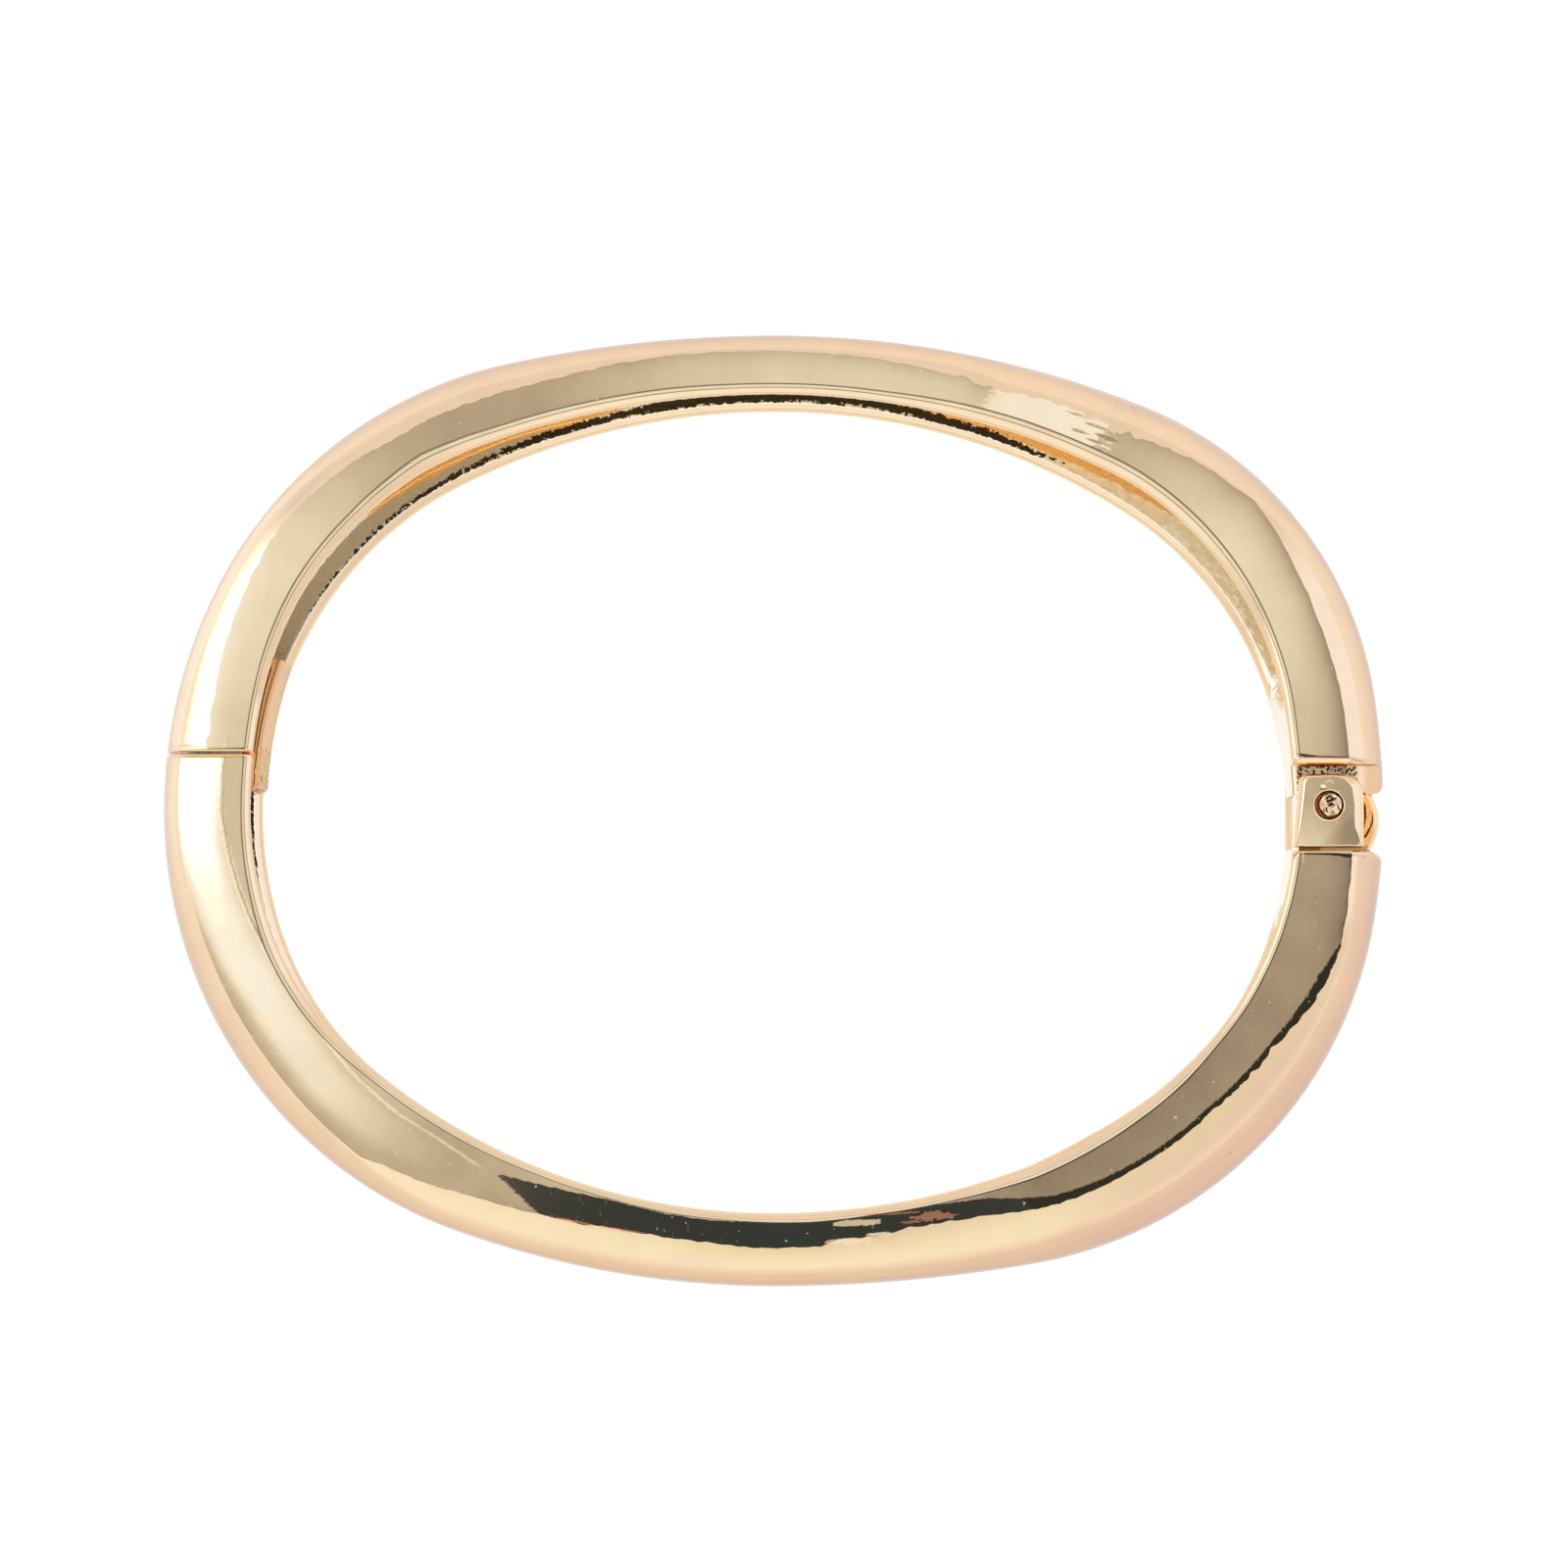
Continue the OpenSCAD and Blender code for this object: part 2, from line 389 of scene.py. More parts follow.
FACE = (
    FaceRow(4, 33, 14, 0.25, -0.028, 0.045),
    FaceRow(10, 33, 14, 0.25, -0.028, 0.055),
    FaceRow(15, 35, 14, 0.25, -0.018, 0.066),
    FaceRow(20, 34.5, 14, 0.25, -0.008, 0.076),
    FaceRow(25, 31, 14, 0.25, -0.006, 0.077),
    FaceRow(29, 25.5, 16, 0.3, -0.004, 0.077),
    FaceRow(33, 20, 19, 0.6, 0.000, 0.072),
    FaceRow(35, 24, 21, 0.5, 0.004, 0.066),
    FaceRow(39, 26, 22, 0.5, 0.012, 0.054, 0, 1),
    FaceRow(42, 31, 22, 0.4, 0.014, 0.046, 0, 2),
    FaceRow(45, 33, 22, 0.4, 0.014, 0.040, 0, 3),
    FaceRow(47.5, 34, 22, 0.4, 0.016, 0.034, 0, 6),
    FaceRow(48.6, 33, 22, 0.4, 0.030, 0.050, 0, 6),
    FaceRow(49, 31, 22, 0.4, 0.100, 0.105, 0, 2),
    FaceRow(55, 30, 21, 0.4, 0.105, 0.110, 0, 2),
    FaceRow(62, 30, 19, 0.4, 0.100, 0.105, 0, 2),
    FaceRow(63, 30, 18, 0.3, 0.030, 0.060, 0, 3),
    FaceRow(67, 26, 13, 0.25, 0.028, 0.068, 0, 1.2),
    FaceRow(71, 22, 13, 0.25, 0.028, 0.070, 0, 0.8),
    FaceRow(80, 17.5, 13, 0.3, 0.028, 0.072, 0, 0.5),
    FaceRow(90, 16, 13, 0.4, 0.026, 0.069, 0, 0.5),
    FaceRow(102, 16, 13, 0.4, 0.020, 0.052, 0, 0.5),
    FaceRow(110, 20, 13, 0.3, 0.016, 0.036, 0, 0.7),
    FaceRow(115, 24, 14, 0.3, 0.010, 0.024, 0, 0.7),
    FaceRow(120, 28, 15, 0.3, 0.006, 0.012, 0, 0.7),
    FaceRow(130, 31, 16, 0.3, 0.002, 0.005, 0, 1.4),
    FaceRow(136, 31, 15, 0.3, 0.006, 0.014, 0, 1.4),
    FaceRow(141, 27, 13, 0.3, 0.018, 0.028, 0, 1.2),
    FaceRow(145, 23.5, 9, 0.3, 0.036, 0.042, 0, 0.8),
    FaceRow(150, 21, 5.5, 0.3, 0.056, 0.060, 0, 0.8),
    FaceRow(155, 25, 5.5, 0.25, 0.076, 0.062, 0, 1),
    FaceRow(160, 30, 5.5, 0.2, 0.092, 0.062, 0, 1.2),
    FaceRow(166, 34, 5.5, 0.2, 0.094, 0.050, 0, 1.2),
    FaceRow(170, 38.5, 5.5, 0.2, 0.084, 0.042, 0, 1.2),
    FaceRow(173.4, 38.5, 5.5, 0.2, 0.084, 0.040, 0, 1.2),
    FaceRow(173.8, 14.5, 12.5, 1.15, 0.060, 0.034, 0, 0.2),
    FaceRow(180, 15, 13, 1.15, 0.040, 0.034, 0, 0.2),
    FaceRow(185, 17, 15, 1.15, 0.030, 0.034, 0, 0.2),
    FaceRow(190, 20, 18, 1.15, 0.016, 0.038, 0, 0.2),
    FaceRow(195, 22, 20, 1.15, 0.012, 0.044, 0, 0.2),
    FaceRow(200, 23.5, 21, 1.15, 0.008, 0.050, 0, 0.2),
    FaceRow(206, 25, 22, 1.15, 0.006, 0.052, 0, 0.2),
    FaceRow(212, 24.5, 22, 1.15, 0.008, 0.048, 0, 0.2),
    FaceRow(217, 23.5, 21, 0.6, 0.010, 0.040, 0, 0.2),
    FaceRow(220, 22.5, 20, 0.4, 0.012, 0.034, 0, 0.4),
    FaceRow(222, 29, 17, 0.3, 0.016, 0.024, 0, 0.8),
    FaceRow(228, 35, 14, 0.25, 0.020, 0.020, 0, 0.8),
    FaceRow(231, 40, 13, 0.25, 0.022, 0.030, 0, 0.6),
    FaceRow(233, 41.5, 13, 0.25, 0.010, 0.030, 73, 0.5),
    FaceRow(240, 43, 13, 0.25, 0.000, 0.040, 74.5, 0.8),
    FaceRow(247, 45, 13, 0.25, 0.000, 0.040, 74, 0.8),
    FaceRow(255, 44, 13, 0.25, 0.000, 0.040, 68, 0.8),
    FaceRow(261, 42, 13, 0.25, 0.000, 0.045, 65.5, 0.8),
    FaceRow(267, 39, 13, 0.25, 0.000, 0.050, 65, 0.8),
    FaceRow(276, 39.5, 14, 0.25, 0.000, 0.050, 69, 0.6),
    FaceRow(278, 45.5, 14, 0.2, 0.000, 0.050, 71, 0.8),
    FaceRow(285, 49, 15, 0.2, 0.000, 0.050, 74, 0.8),
    FaceRow(288, 54.5, 16, 0.2, 0.000, 0.045, 75.5, 0.8),
    FaceRow(292, 57, 17, 0.2, 0.000, 0.030, 76.5, 0.8),
    FaceRow(299, 59.5, 20, 0.2, 0.000, 0.004, 78, 0.8),
    FaceRow(303, 58, 24, 0.25, 0.000, -0.006, 72, 0.8),
    FaceRow(306, 57, 26, 0.25, 0.000, -0.008, 67, 0.8),
    FaceRow(312, 60, 28, 0.3, 0.000, -0.008, 66.5, 0.8),
    FaceRow(320, 61, 29, 0.3, 0.000, -0.008, 66, 0.8),
    FaceRow(326, 60.5, 29, 0.3, 0.000, -0.008, 65.5, 1),
    FaceRow(331, 56, 27, 0.3, 0.000, -0.007, 60.5, 1.8),
    FaceRow(335, 51, 25, 0.3, -0.006, -0.004, 56.5, 1.8),
    FaceRow(339.5, 41, 24, 0.3, -0.012, 0.000, 48, 2.6),
    FaceRow(343, 33, 23, 0.35, -0.016, 0.003, 41.5, 2.2),
    FaceRow(346.5, 28, 22, 0.4, -0.026, 0.005, 31, 1.2),
    FaceRow(347.5, 29, 22, 0.4, -0.030, 0.006, 0, 0.5),
    FaceRow(355, 30, 24, 0.4, -0.032, 0.010, 0, 0.4),
)


# Painted reflection tints of the shoulder's outer part: factors of its colour, by angle in degrees
RIM_REFLECTION_TONES = (
    (20.0, (0.97, 0.98, 1.10)),
    (40.0, (1.0, 0.98, 1.03)),
    (60.0, (1.0, 0.98, 1.01)),
    (90.0, (0.97, 0.94, 1.0)),
    (120.0, (0.96, 0.95, 1.03)),
    (140.0, (1.0, 1.03, 1.14)),
    (150.0, (1.11, 1.20, 1.42)),
    (160.0, (1.10, 1.20, 1.46)),
    (182.0, (1.05, 1.15, 1.32)),
    (190.0, (0.99, 1.0, 1.08)),
    (200.0, (0.96, 0.95, 1.0)),
    (210.0, (0.96, 0.93, 0.95)),
    (225.0, (0.91, 0.87, 0.88)),
    (270.0, (0.88, 0.82, 0.82)),
    (320.0, (0.87, 0.78, 0.86)),
    (340.0, (0.90, 0.84, 0.92)),
    (350.0, (0.91, 0.85, 0.95)),
)


# Painted reflection tints of the shoulder's inner part: factors of its colour, by angle in degrees
EDGE_REFLECTION_TONES = (
    (0.0, (1.0, 1.0, 1.0)),
    (138.0, (1.0, 1.0, 1.0)),
    (148.0, (1.0, 1.14, 1.38)),
    (154.0, (1.0, 1.16, 1.45)),
    (164.0, (1.0, 1.05, 1.25)),
    (174.0, (1.0, 1.0, 1.0)),
    (230.0, (1.0, 1.0, 0.97)),
    (250.0, (0.98, 1.0, 0.93)),
    (262.0, (0.94, 0.93, 0.84)),
    (270.0, (0.89, 0.87, 0.75)),
    (290.0, (0.87, 0.85, 0.77)),
    (305.0, (0.97, 1.0, 0.92)),
    (320.0, (1.02, 1.04, 0.97)),
    (330.0, (1.0, 1.0, 0.9)),
    (345.0, (1.0, 1.0, 1.0)),
)


@dataclass(frozen=True)
class BankRow:
    """A soft bright bank along the flat of the lower half, near the clasp.

    Args:
        angle: angle round the middle, in degrees.
        middle: depth of the bank's top, in pixels of the photograph.
        outside: its half width towards the shoulder, in pixels.
        inside: its half width towards the lip.
        slope: slope at its top.
    """

    angle: float
    middle: float
    outside: float
    inside: float
    slope: float


BANK = (
    BankRow(173.6, 33, 30, 25, 0.220),
    BankRow(180, 33, 26, 24, 0.180),
    BankRow(183, 34, 23, 24, 0.160),
    BankRow(186, 36, 20, 25, 0.142),
    BankRow(189, 40, 19, 25, 0.124),
    BankRow(192, 44, 18, 26, 0.118),
    BankRow(196, 49, 18, 27, 0.115),
    BankRow(200, 55, 18, 26, 0.112),
    BankRow(206, 58, 19, 22, 0.094),
    BankRow(212, 58, 21, 20, 0.078),
    BankRow(218, 60, 20, 18, 0.058),
    BankRow(224, 62, 18, 15, 0.030),
    BankRow(230, 62, 16, 12, -0.002),
)


@dataclass(frozen=True)
class Island:
    """A small spot of the flat with a slope of its own.

    Args:
        angle: angle of its middle, in degrees.
        depth: depth of its middle, in pixels of the photograph.
        wide: half its size round the oval, in degrees.
        deep: half its size in depth, in pixels.
        slope: its slope; None leans it towards the lens, which makes it dark.
        tone: factors of the base colour there.
    """

    angle: float
    depth: float
    wide: float
    deep: float
    slope: float | None
    tone: Colour = PLAIN

    def size(self, angle: Array, depth: Array) -> Array:
        """Squared distance from the middle, in half sizes."""
        return ((angle - self.angle) / self.wide) ** 2 + ((depth - self.depth) / self.deep) ** 2


ISLANDS = (
    Island(281.5, 63.0, 3.4, 3.2, 0.05),
    Island(279.5, 44.5, 3.2, 2.6, 0.03),
    Island(284.0, 50.0, 1.6, 1.6, 0.07),
    Island(291.5, 64.5, 2.6, 5.0, 0.002, (0.95, 0.60, 0.55)),
    Island(287.0, 70.5, 4.0, 1.3, -0.004, (0.95, 0.60, 0.55)),
    Island(288.5, 60.5, 1.5, 1.6, -0.006, (0.95, 0.60, 0.55)),
    Island(48.4, 47.0, 1.3, 2.4, -0.004),
    Island(50.0, 39.0, 1.4, 1.6, 0.020),
    Island(51.2, 50.0, 1.0, 1.5, 0.020),
    Island(52.6, 33.5, 1.6, 1.2, 0.030),
    Island(49.0, 55.0, 0.9, 1.6, 0.010),
    Island(244.0, 44.4, 2.4, 1.0, 0.0, (1.0, 0.62, 0.42)),
    Island(250.3, 45.2, 2.6, 0.8, 0.0, (1.0, 0.62, 0.42)),
    Island(342.2, 26.0, 0.35, 1.2, None),
    Island(343.1, 23.5, 0.3, 1.0, None),
    Island(343.6, 28.0, 0.3, 0.9, None),
)


@dataclass(frozen=True)
class Ridge:
    """A thin line on the flat, left between two strokes of the polish.

    Args:
        places: pairs of angle in degrees and depth in pixels of the photograph.
        half: its half width, in pixels.
        slope: how much it adds to the slope.
    """

    places: tuple[tuple[float, float], ...]
    half: float
    slope: float


RIDGES = (
    Ridge(((172, 57), (180, 57.5), (188, 67), (196, 77), (206, 86), (212, 84), (224, 83), (228, 78),
           (231, 72)), 1.1, 0.06),
    Ridge(((172, 59.4), (180, 60), (188, 69.5), (196, 79.5), (205, 88)), 0.9, -0.03),
    Ridge(((182, 64), (190, 74), (197, 83), (204, 89)), 0.8, 0.04),
)


@dataclass(frozen=True)
class Stroke:
    """A line on the metal with a slope and a tone of its own; where strokes are listed, notes say
    which tones are painted shade and which painted reflection.

    Args:
        places: x, y and half width at each of its corners.
        slope: slope of the metal there; None leans it towards the lens, which makes it dark.
        tone: factors of the base colour there.
        soft: width of its soft edge.
    """

    places: tuple[tuple[float, float, float], ...]
    slope: float | None = None
    tone: Colour = PLAIN
    soft: float = 0.05

    def cover(self, spots: Array) -> Array:
        """How far spots are covered, from 0 outside to 1 on the stroke."""
        best = np.full(spots.shape[:-1], -9.0)
        for first, last in zip(self.places, self.places[1:]):
            start, way = np.array(first[:2]), np.array(last[:2]) - np.array(first[:2])
            run = np.clip(((spots - start) @ way) / max(way @ way, 1e-9), 0, 1)
            apart = np.linalg.norm(spots - start - run[..., None] * way, axis=-1)
            best = np.maximum(best, (mix(first[2], last[2], run) - apart) / self.soft)
        return np.clip(best + 0.5, 0, 1)

    def lean(self, slope: Array, spots: Array, lens: Array) -> Array:
        """Slopes of some spots with the stroke's own slope laid over them."""
        return mix(slope, lens if self.slope is None else self.slope, self.cover(spots))

    def tint(self, tone: Array, spots: Array, share: Array | float = 1.0) -> Array:
        """Tones of some spots with the stroke's own tone laid over them."""
        return mix(tone, np.array(self.tone), (self.cover(spots) * share)[..., None])


# On the near side face
STROKES = (
    # The dark line above the upper end, whose darker tone is painted shade, and the orange one on
    # its rounding, a painted reflection tint
    Stroke(((29.1, 2.93, 0.04), (29.7, 2.82, 0.08), (30.3, 2.78, 0.04), (32.2, 2.72, 0.035),
            (32.7, 2.52, 0.03), (33.2, 2.36, 0.02)), None, (0.7, 0.55, 0.4)),
    Stroke(((29.15, 2.46, 0.1), (30.3, 2.44, 0.1), (32.3, 2.38, 0.07), (33.1, 2.30, 0.03)),
           0.3, (1.1, 1.0, 0.8)),
    Stroke(((29.4, 2.42, 0.03), (30.2, 2.42, 0.05), (31.6, 2.38, 0.05), (32.2, 2.36, 0.03)),
           0.3, (1.15, 0.95, 0.6)),
    # The outer corner of the step, pinker than the rest: a painted reflection tint
    Stroke(((33.1, 2.1, 0.3), (33.4, 1.6, 0.5), (33.4, 1.0, 0.5)), 0.02, (0.98, 0.88, 0.82), 0.3),
    # The dark line below the ear, whose darker tone is painted shade, and the light streak beside
    # the lip
    Stroke(((29.2, -2.60, 0.03), (30.0, -2.61, 0.06), (31.2, -2.63, 0.07), (32.0, -2.74, 0.07),
            (32.4, -2.70, 0.03), (33.0, -2.78, 0.02)), None, (0.7, 0.55, 0.4)),
    Stroke(((29.48, -2.5, 0.05), (29.52, -3.1, 0.02)), 0.06),
    # Below the clasp's seam: a gold line and a dark line tinted orange, both painted reflection
    # tints
    Stroke(((-33.6, 2.80, 0.02), (-32.5, 2.80, 0.05), (-29.4, 2.83, 0.06)), 0.02,
           (0.95, 0.72, 0.3)),
    Stroke(((-33.2, 3.22, 0.01), (-31.5, 3.22, 0.03), (-29.4, 3.24, 0.06)), None, (1.2, 1.0, 0.5)),
)
# On the near ear
EAR_STROKES = (
    Stroke(((30.6, 1.12, 0.1), (30.68, 1.10, 0.1)), 0.2),
    Stroke(((30.82, 1.35, 0.03), (31.0, 1.48, 0.03), (31.2, 1.30, 0.03)), 0.08),
    Stroke(((30.5, 1.02, 0.03), (30.6, 0.96, 0.04), (30.8, 1.0, 0.03)), None),
)
# On the tongue, as y and height: the first is painted shadow along the tongue's tip; the others
# darken its face
TONGUE_STROKES = (
    Stroke(((0.98, 6.4, 0.12), (1.03, 3.4, 0.12), (1.1, 2.4, 0.05)), None, (0.12, 0.06, 0.03)),
    Stroke(((1.9, 5.0, 0.1), (1.6, 4.3, 0.12), (1.5, 4.6, 0.08)), None, (0.10, 0.06, 0.04)),
    Stroke(((1.55, 5.2, 0.07), (1.8, 4.4, 0.08)), None, (0.10, 0.06, 0.04)),
    Stroke(((2.4, 3.9, 0.05), (3.9, 3.6, 0.05)), None, (0.5, 0.4, 0.3)),
)
# Dark marks on the rivet's head
HEAD_STROKES = (
    Stroke(((30.84, 0.46, 0.07), (31.0, 0.58, 0.08), (31.15, 0.50, 0.05))),
    Stroke(((30.90, 0.30, 0.07), (31.1, 0.36, 0.08), (31.28, 0.44, 0.08))),
    Stroke(((30.98, 0.05, 0.06), (31.14, 0.18, 0.07), (31.2, 0.05, 0.04))),
    Stroke(((31.42, 0.1, 0.03), (31.52, -0.12, 0.05), (31.6, -0.2, 0.03))),
    Stroke(((30.82, -0.05, 0.04), (30.88, -0.32, 0.04))),
    Stroke(((31.12, -0.25, 0.03), (31.25, -0.36, 0.03))),
)


# How far the lips stand in beyond their ovals: pairs of angle in degrees and pixels
LIP_SHIFTS = (
    (0, 0.5), (8, 2.5), (30, 2.5), (42, 0.5), (60, 0), (306, 0), (314, 4), (320, 5.5), (328, 5),
    (338, 1), (346, 0),
)

# Widths of the near lip's rounding: pairs of angle in degrees and pixels of the photograph
LIP_WIDTHS = (
    (4, 8), (20, 10), (30, 13), (45, 14.5), (57, 14.5), (65, 13), (75, 10), (95, 10), (105, 11.5),
    (125, 12), (131, 14), (135, 17), (139, 14), (145, 11.5), (155, 11.5), (165, 9), (176, 8),
    (185, 9), (195, 12), (205, 9.5), (215, 7), (228, 6), (237, 4), (247, 4), (255, 5.5), (265, 6.5),
    (275, 8), (285, 6), (295, 6.5), (305, 8.5), (320, 9), (327, 9), (332, 6.5), (350, 7.5),
)

# How dark the lip's dark lines are: pairs of angle in degrees and strength
LIP_LINES = (
    (5, 0.35), (30, 0.3), (45, 0.45), (60, 0.5), (72, 1), (122, 1), (131, 0.6), (140, 0.9),
    (150, 0.4), (165, 0.35), (172, 0.5), (175, 0.12), (188, 0.15), (200, 0.35), (225, 0.45),
    (240, 0.3), (265, 0.5), (285, 0.35), (305, 0.5), (325, 0.4), (350, 0.5),
)

# The near lip's slopes from the flat to the wall: pairs of share and slope; None is dark
LIP_SLOPES = (
    (0.00, -0.02), (0.05, None), (0.11, -0.10), (0.20, -0.17), (0.36, -0.20), (0.42, -0.10),
    (0.46, None), (0.50, -0.30), (0.62, -0.50), (0.85, -0.80), (0.94, -1.30), (1.00, -3.00),
)


@dataclass(frozen=True)
class Zone:
    """Where a zone of the channel lies at one angle.

    Args:
        angle: angle round the middle, in degrees.
        start: depth at which the zone starts, in pixels of the photograph.
        end: depth at which the zone ends.
    """

    angle: float
    start: float
    end: float


# The channel's zones, all painted light: a warm glow, a line of painted dark reflection, a sliver
# of painted shade below the clasp and a painted dim reflection
AMBER = (
    Zone(35, 88, 84), Zone(38, 83, 91), Zone(42, 78, 92), Zone(46, 75, 90), Zone(52, 71, 84),
    Zone(60, 65, 75), Zone(66, 64, 71.5), Zone(72, 62, 66), Zone(77, 64, 58), Zone(108, 70, 64),
    Zone(112, 64, 71), Zone(118, 70, 79), Zone(125, 73, 83), Zone(130, 75, 86), Zone(136, 77, 87),
    Zone(143, 77, 83), Zone(147, 84, 76),
)
SOOT = (
    Zone(50, 90, 88), Zone(55, 82, 89), Zone(60, 74.5, 83.5), Zone(65, 70.5, 79.5),
    Zone(70, 65, 75.5),
    Zone(75, 61, 71), Zone(85, 56, 68.5), Zone(95, 56, 70), Zone(100, 58, 71), Zone(105, 62, 75),
    Zone(110, 70, 77), Zone(118, 78, 87), Zone(125, 88, 94), Zone(130, 93, 98.5),
    Zone(135, 96, 101), Zone(145, 97.5, 102.5), Zone(164, 97.5, 102.5), Zone(167, 102, 97),
)
SLIVER = (Zone(177, 88.5, 93), Zone(183, 88.5, 92.5), Zone(188, 90, 91))
GREY = (
    Zone(108, 75, 70), Zone(118, 76, 88), Zone(130, 84, 97), Zone(145, 80, 99), Zone(160, 80, 99),
    Zone(166, 84, 98), Zone(170, 95, 90),
)


def ripple(points: Array, size: float, seed: int, waves: int = 9) -> Array:
    """Smooth noise from a few plane waves, about -1 to 1.

    Args:
        points: places, with two or three coordinates.
        size: length of the typical wave.
        seed: seed of its directions and phases.
        waves: how many waves are added.

    Returns:
        One value for each point.
    """
    rng = np.random.default_rng(SEED + seed)
    total = np.zeros(points.shape[:-1])
    for _ in range(waves):
        way = rng.normal(size=points.shape[-1])
        way *= 2 * math.pi / (size * rng.uniform(0.6, 1.6) * np.linalg.norm(way))
        total += np.sin(points @ way + rng.uniform(0, 2 * math.pi))
    return total / math.sqrt(waves / 2) / 1.6


def ripples(points: Array, waves: Sequence[tuple[float, int, float]]) -> Array:
    """Ripples of several sizes laid over each other, each with its seed and share."""
    return sum(share * ripple(points, size, seed) for size, seed, share in waves)


class Polish:
    """The slopes that hand polishing has left on the near side face and its shoulder."""

    # The field that mirrors the lens: where it starts, and the depths of its slanted start
    DARK_FROM = 232.5
    DARK_FULL = 240.0
    DARK_DEPTHS = (72.0, 42.0)
    DARK_END = 347.5
    # From here on the field is a thin line of its own tone, a painted dark reflection
    LINE_FROM = 303.0
    LINE_TONE: Colour = (0.8, 0.68, 0.55)
    SHOULDER_END = math.radians(45)
    # How fast the shoulder flattens: pairs of angle in degrees and power
    POWERS = ((140, 1.3), (150, 3.0), (173.6, 3.0), (173.8, 1.3))
    # Where the bank is cut off at the first ridge, and over how many degrees the cut fades
    CUT_UNTIL = 196
    CUT_FADE = 10
    BANK_FADE = 6
    CUT_SOFT = 2.4
    # Ripples as size, seed and share: of the broken edges, of the flat and of the near lip
    CRACKLE = ((0.35, 1, 1.0), (0.8, 2, 0.6))
    FLAT_RIPPLES = ((3.5, 3, 0.0022), (0.9, 4, 0.0012))
    LIP_RIPPLES = ((2.5, 41, 0.006),)
    # From which raggedness on edges are crackled in angle too, and by how many degrees
    RAGGED_FROM = 0.8
    RAGGED_TURN = 0.28
    # Share of the flat over which its outer slope gives way to its inner slope
    OUTER_SHARE = 0.3
    # How far the lip's dark lines lean beyond the lens
    LINE_LEAN = 0.02

    @staticmethod
    def column(name: str, angle: Array) -> Array:
        """One field of the face's rows at some angles."""
        return column(FACE, name, angle, 360)

    def edge(self, angle: Array, jitter: Array) -> Array:
        """Depth of the shoulder's end in pixels, with its ragged line."""
        return self.column("edge", angle) + self.column("ragged", angle) * jitter

    def shoulder_tilt(self, angle: Array, depth: Array) -> Array:
        """Tilt of the shoulder in radians, from upright at the silhouette."""
        rim, edge = self.column("rim", angle), self.column("edge", angle)
        last = np.arctan(self.column("lean", angle))
        outside = np.clip(depth / rim, 0, 1)
        round_part = np.arcsin(1 - (1 - math.sin(self.SHOULDER_END)) * outside)
        inside = np.clip((depth - rim) / np.maximum(edge - rim, 1), 0, 1)
        share = (1 - inside) ** look_up(self.POWERS, angle)
        return np.where(depth < rim, round_part, mix(last, self.SHOULDER_END, share))

    @staticmethod
    def toward_lens(points: Array, outward: Array) -> Array:
        """Slope at which the flat mirrors what is straight above the middle of the floor."""
        away = (points[..., :2] - np.array(VIEW.place[:2])) / (VIEW.place[2] - BAND_W)
        return -((away - np.array(Studio.LENS)) * outward).sum(-1) / 2

    def _bank(self, slope: Array, angle: Array, depth: Array) -> Array:
        """Slopes of the flat with the bright bank laid over them."""
        first, last = BANK[0].angle, BANK[-1].angle
        middle, outside, inside, top = (
            column(BANK, name, angle) for name in ("middle", "outside", "inside", "slope"))
        off = (depth - middle) / np.where(depth < middle, outside, inside)
        bump = np.exp(-off**4) * np.clip(1 - (angle - last + self.BANK_FADE) / self.BANK_FADE, 0, 1)
        cut = look_up(RIDGES[0].places, angle, None) - depth
        cut = np.clip(cut / self.CUT_SOFT + 0.5, 0, 1)
        bump *= cut + (1 - cut) * np.clip((angle - self.CUT_UNTIL) / self.CUT_FADE, 0, 1)
        return np.where((angle > first) & (angle < last), mix(slope, top, bump), slope)

    def slope(self, points: Array, start: Array, end: Array, outward: Array) -> Array:
        """Outward slopes of the flat.

        Args:
            points: places on the flat.
            start: depth at which the flat starts, in pixels.
            end: depth at which the flat ends, in pixels.
            outward: unit vectors away from the opening.

        Returns:
            One slope for each point.
        """
        plain, depth = VIEW.read(points)
        flat = points[..., :2]
        rag = self.column("ragged", plain)
        crackle = ripples(flat, self.CRACKLE)
        angle = plain + self.RAGGED_TURN * np.maximum(rag - self.RAGGED_FROM, 0) * crackle
        outer, inner = self.column("outer", angle), self.column("inner", angle)
        share = np.clip((depth - start) / np.maximum(end - start, 1), 0, 1)
        slope = self._bank(mix(inner, outer, np.exp(-share / self.OUTER_SHARE)), plain, depth)
        for ridge in RIDGES:
            line = look_up(ridge.places, plain, None) + 0.5 * crackle
            ends = np.minimum(plain - ridge.places[0][0], ridge.places[-1][0] - plain)
            slope = slope + ridge.slope * np.clip(ends / 2, 0, 1) * np.exp(
                -(((depth - line) / ridge.half) ** 2))
        lens = self.toward_lens(points, outward)
        bare = np.zeros_like(slope, bool)
        for spot in ISLANDS:
            here = spot.size(plain, depth) < 1 + 0.3 * crackle
            slope = np.where(here, lens if spot.slope is None else spot.slope, slope)
            bare |= here
        first = np.interp(plain, [self.DARK_FROM, self.DARK_FULL], self.DARK_DEPTHS)
        dark = (plain > self.DARK_FROM) & (plain < self.DARK_END)
        dark &= depth < self.column("strip", plain) + 0.4 * rag * crackle
        dark &= ((depth > first) | (plain > self.DARK_FULL)) & ~bare
        slope = np.where(dark, lens, slope)
        for stroke in STROKES:
            slope = stroke.lean(slope, flat, lens)
        return slope + ripples(flat, self.FLAT_RIPPLES)

    @staticmethod
    def lip_width(angle: Array) -> Array:
        """Width of the near lip's rounding, in millimetres."""
        return look_up(LIP_WIDTHS, angle) / VIEW.face_scale

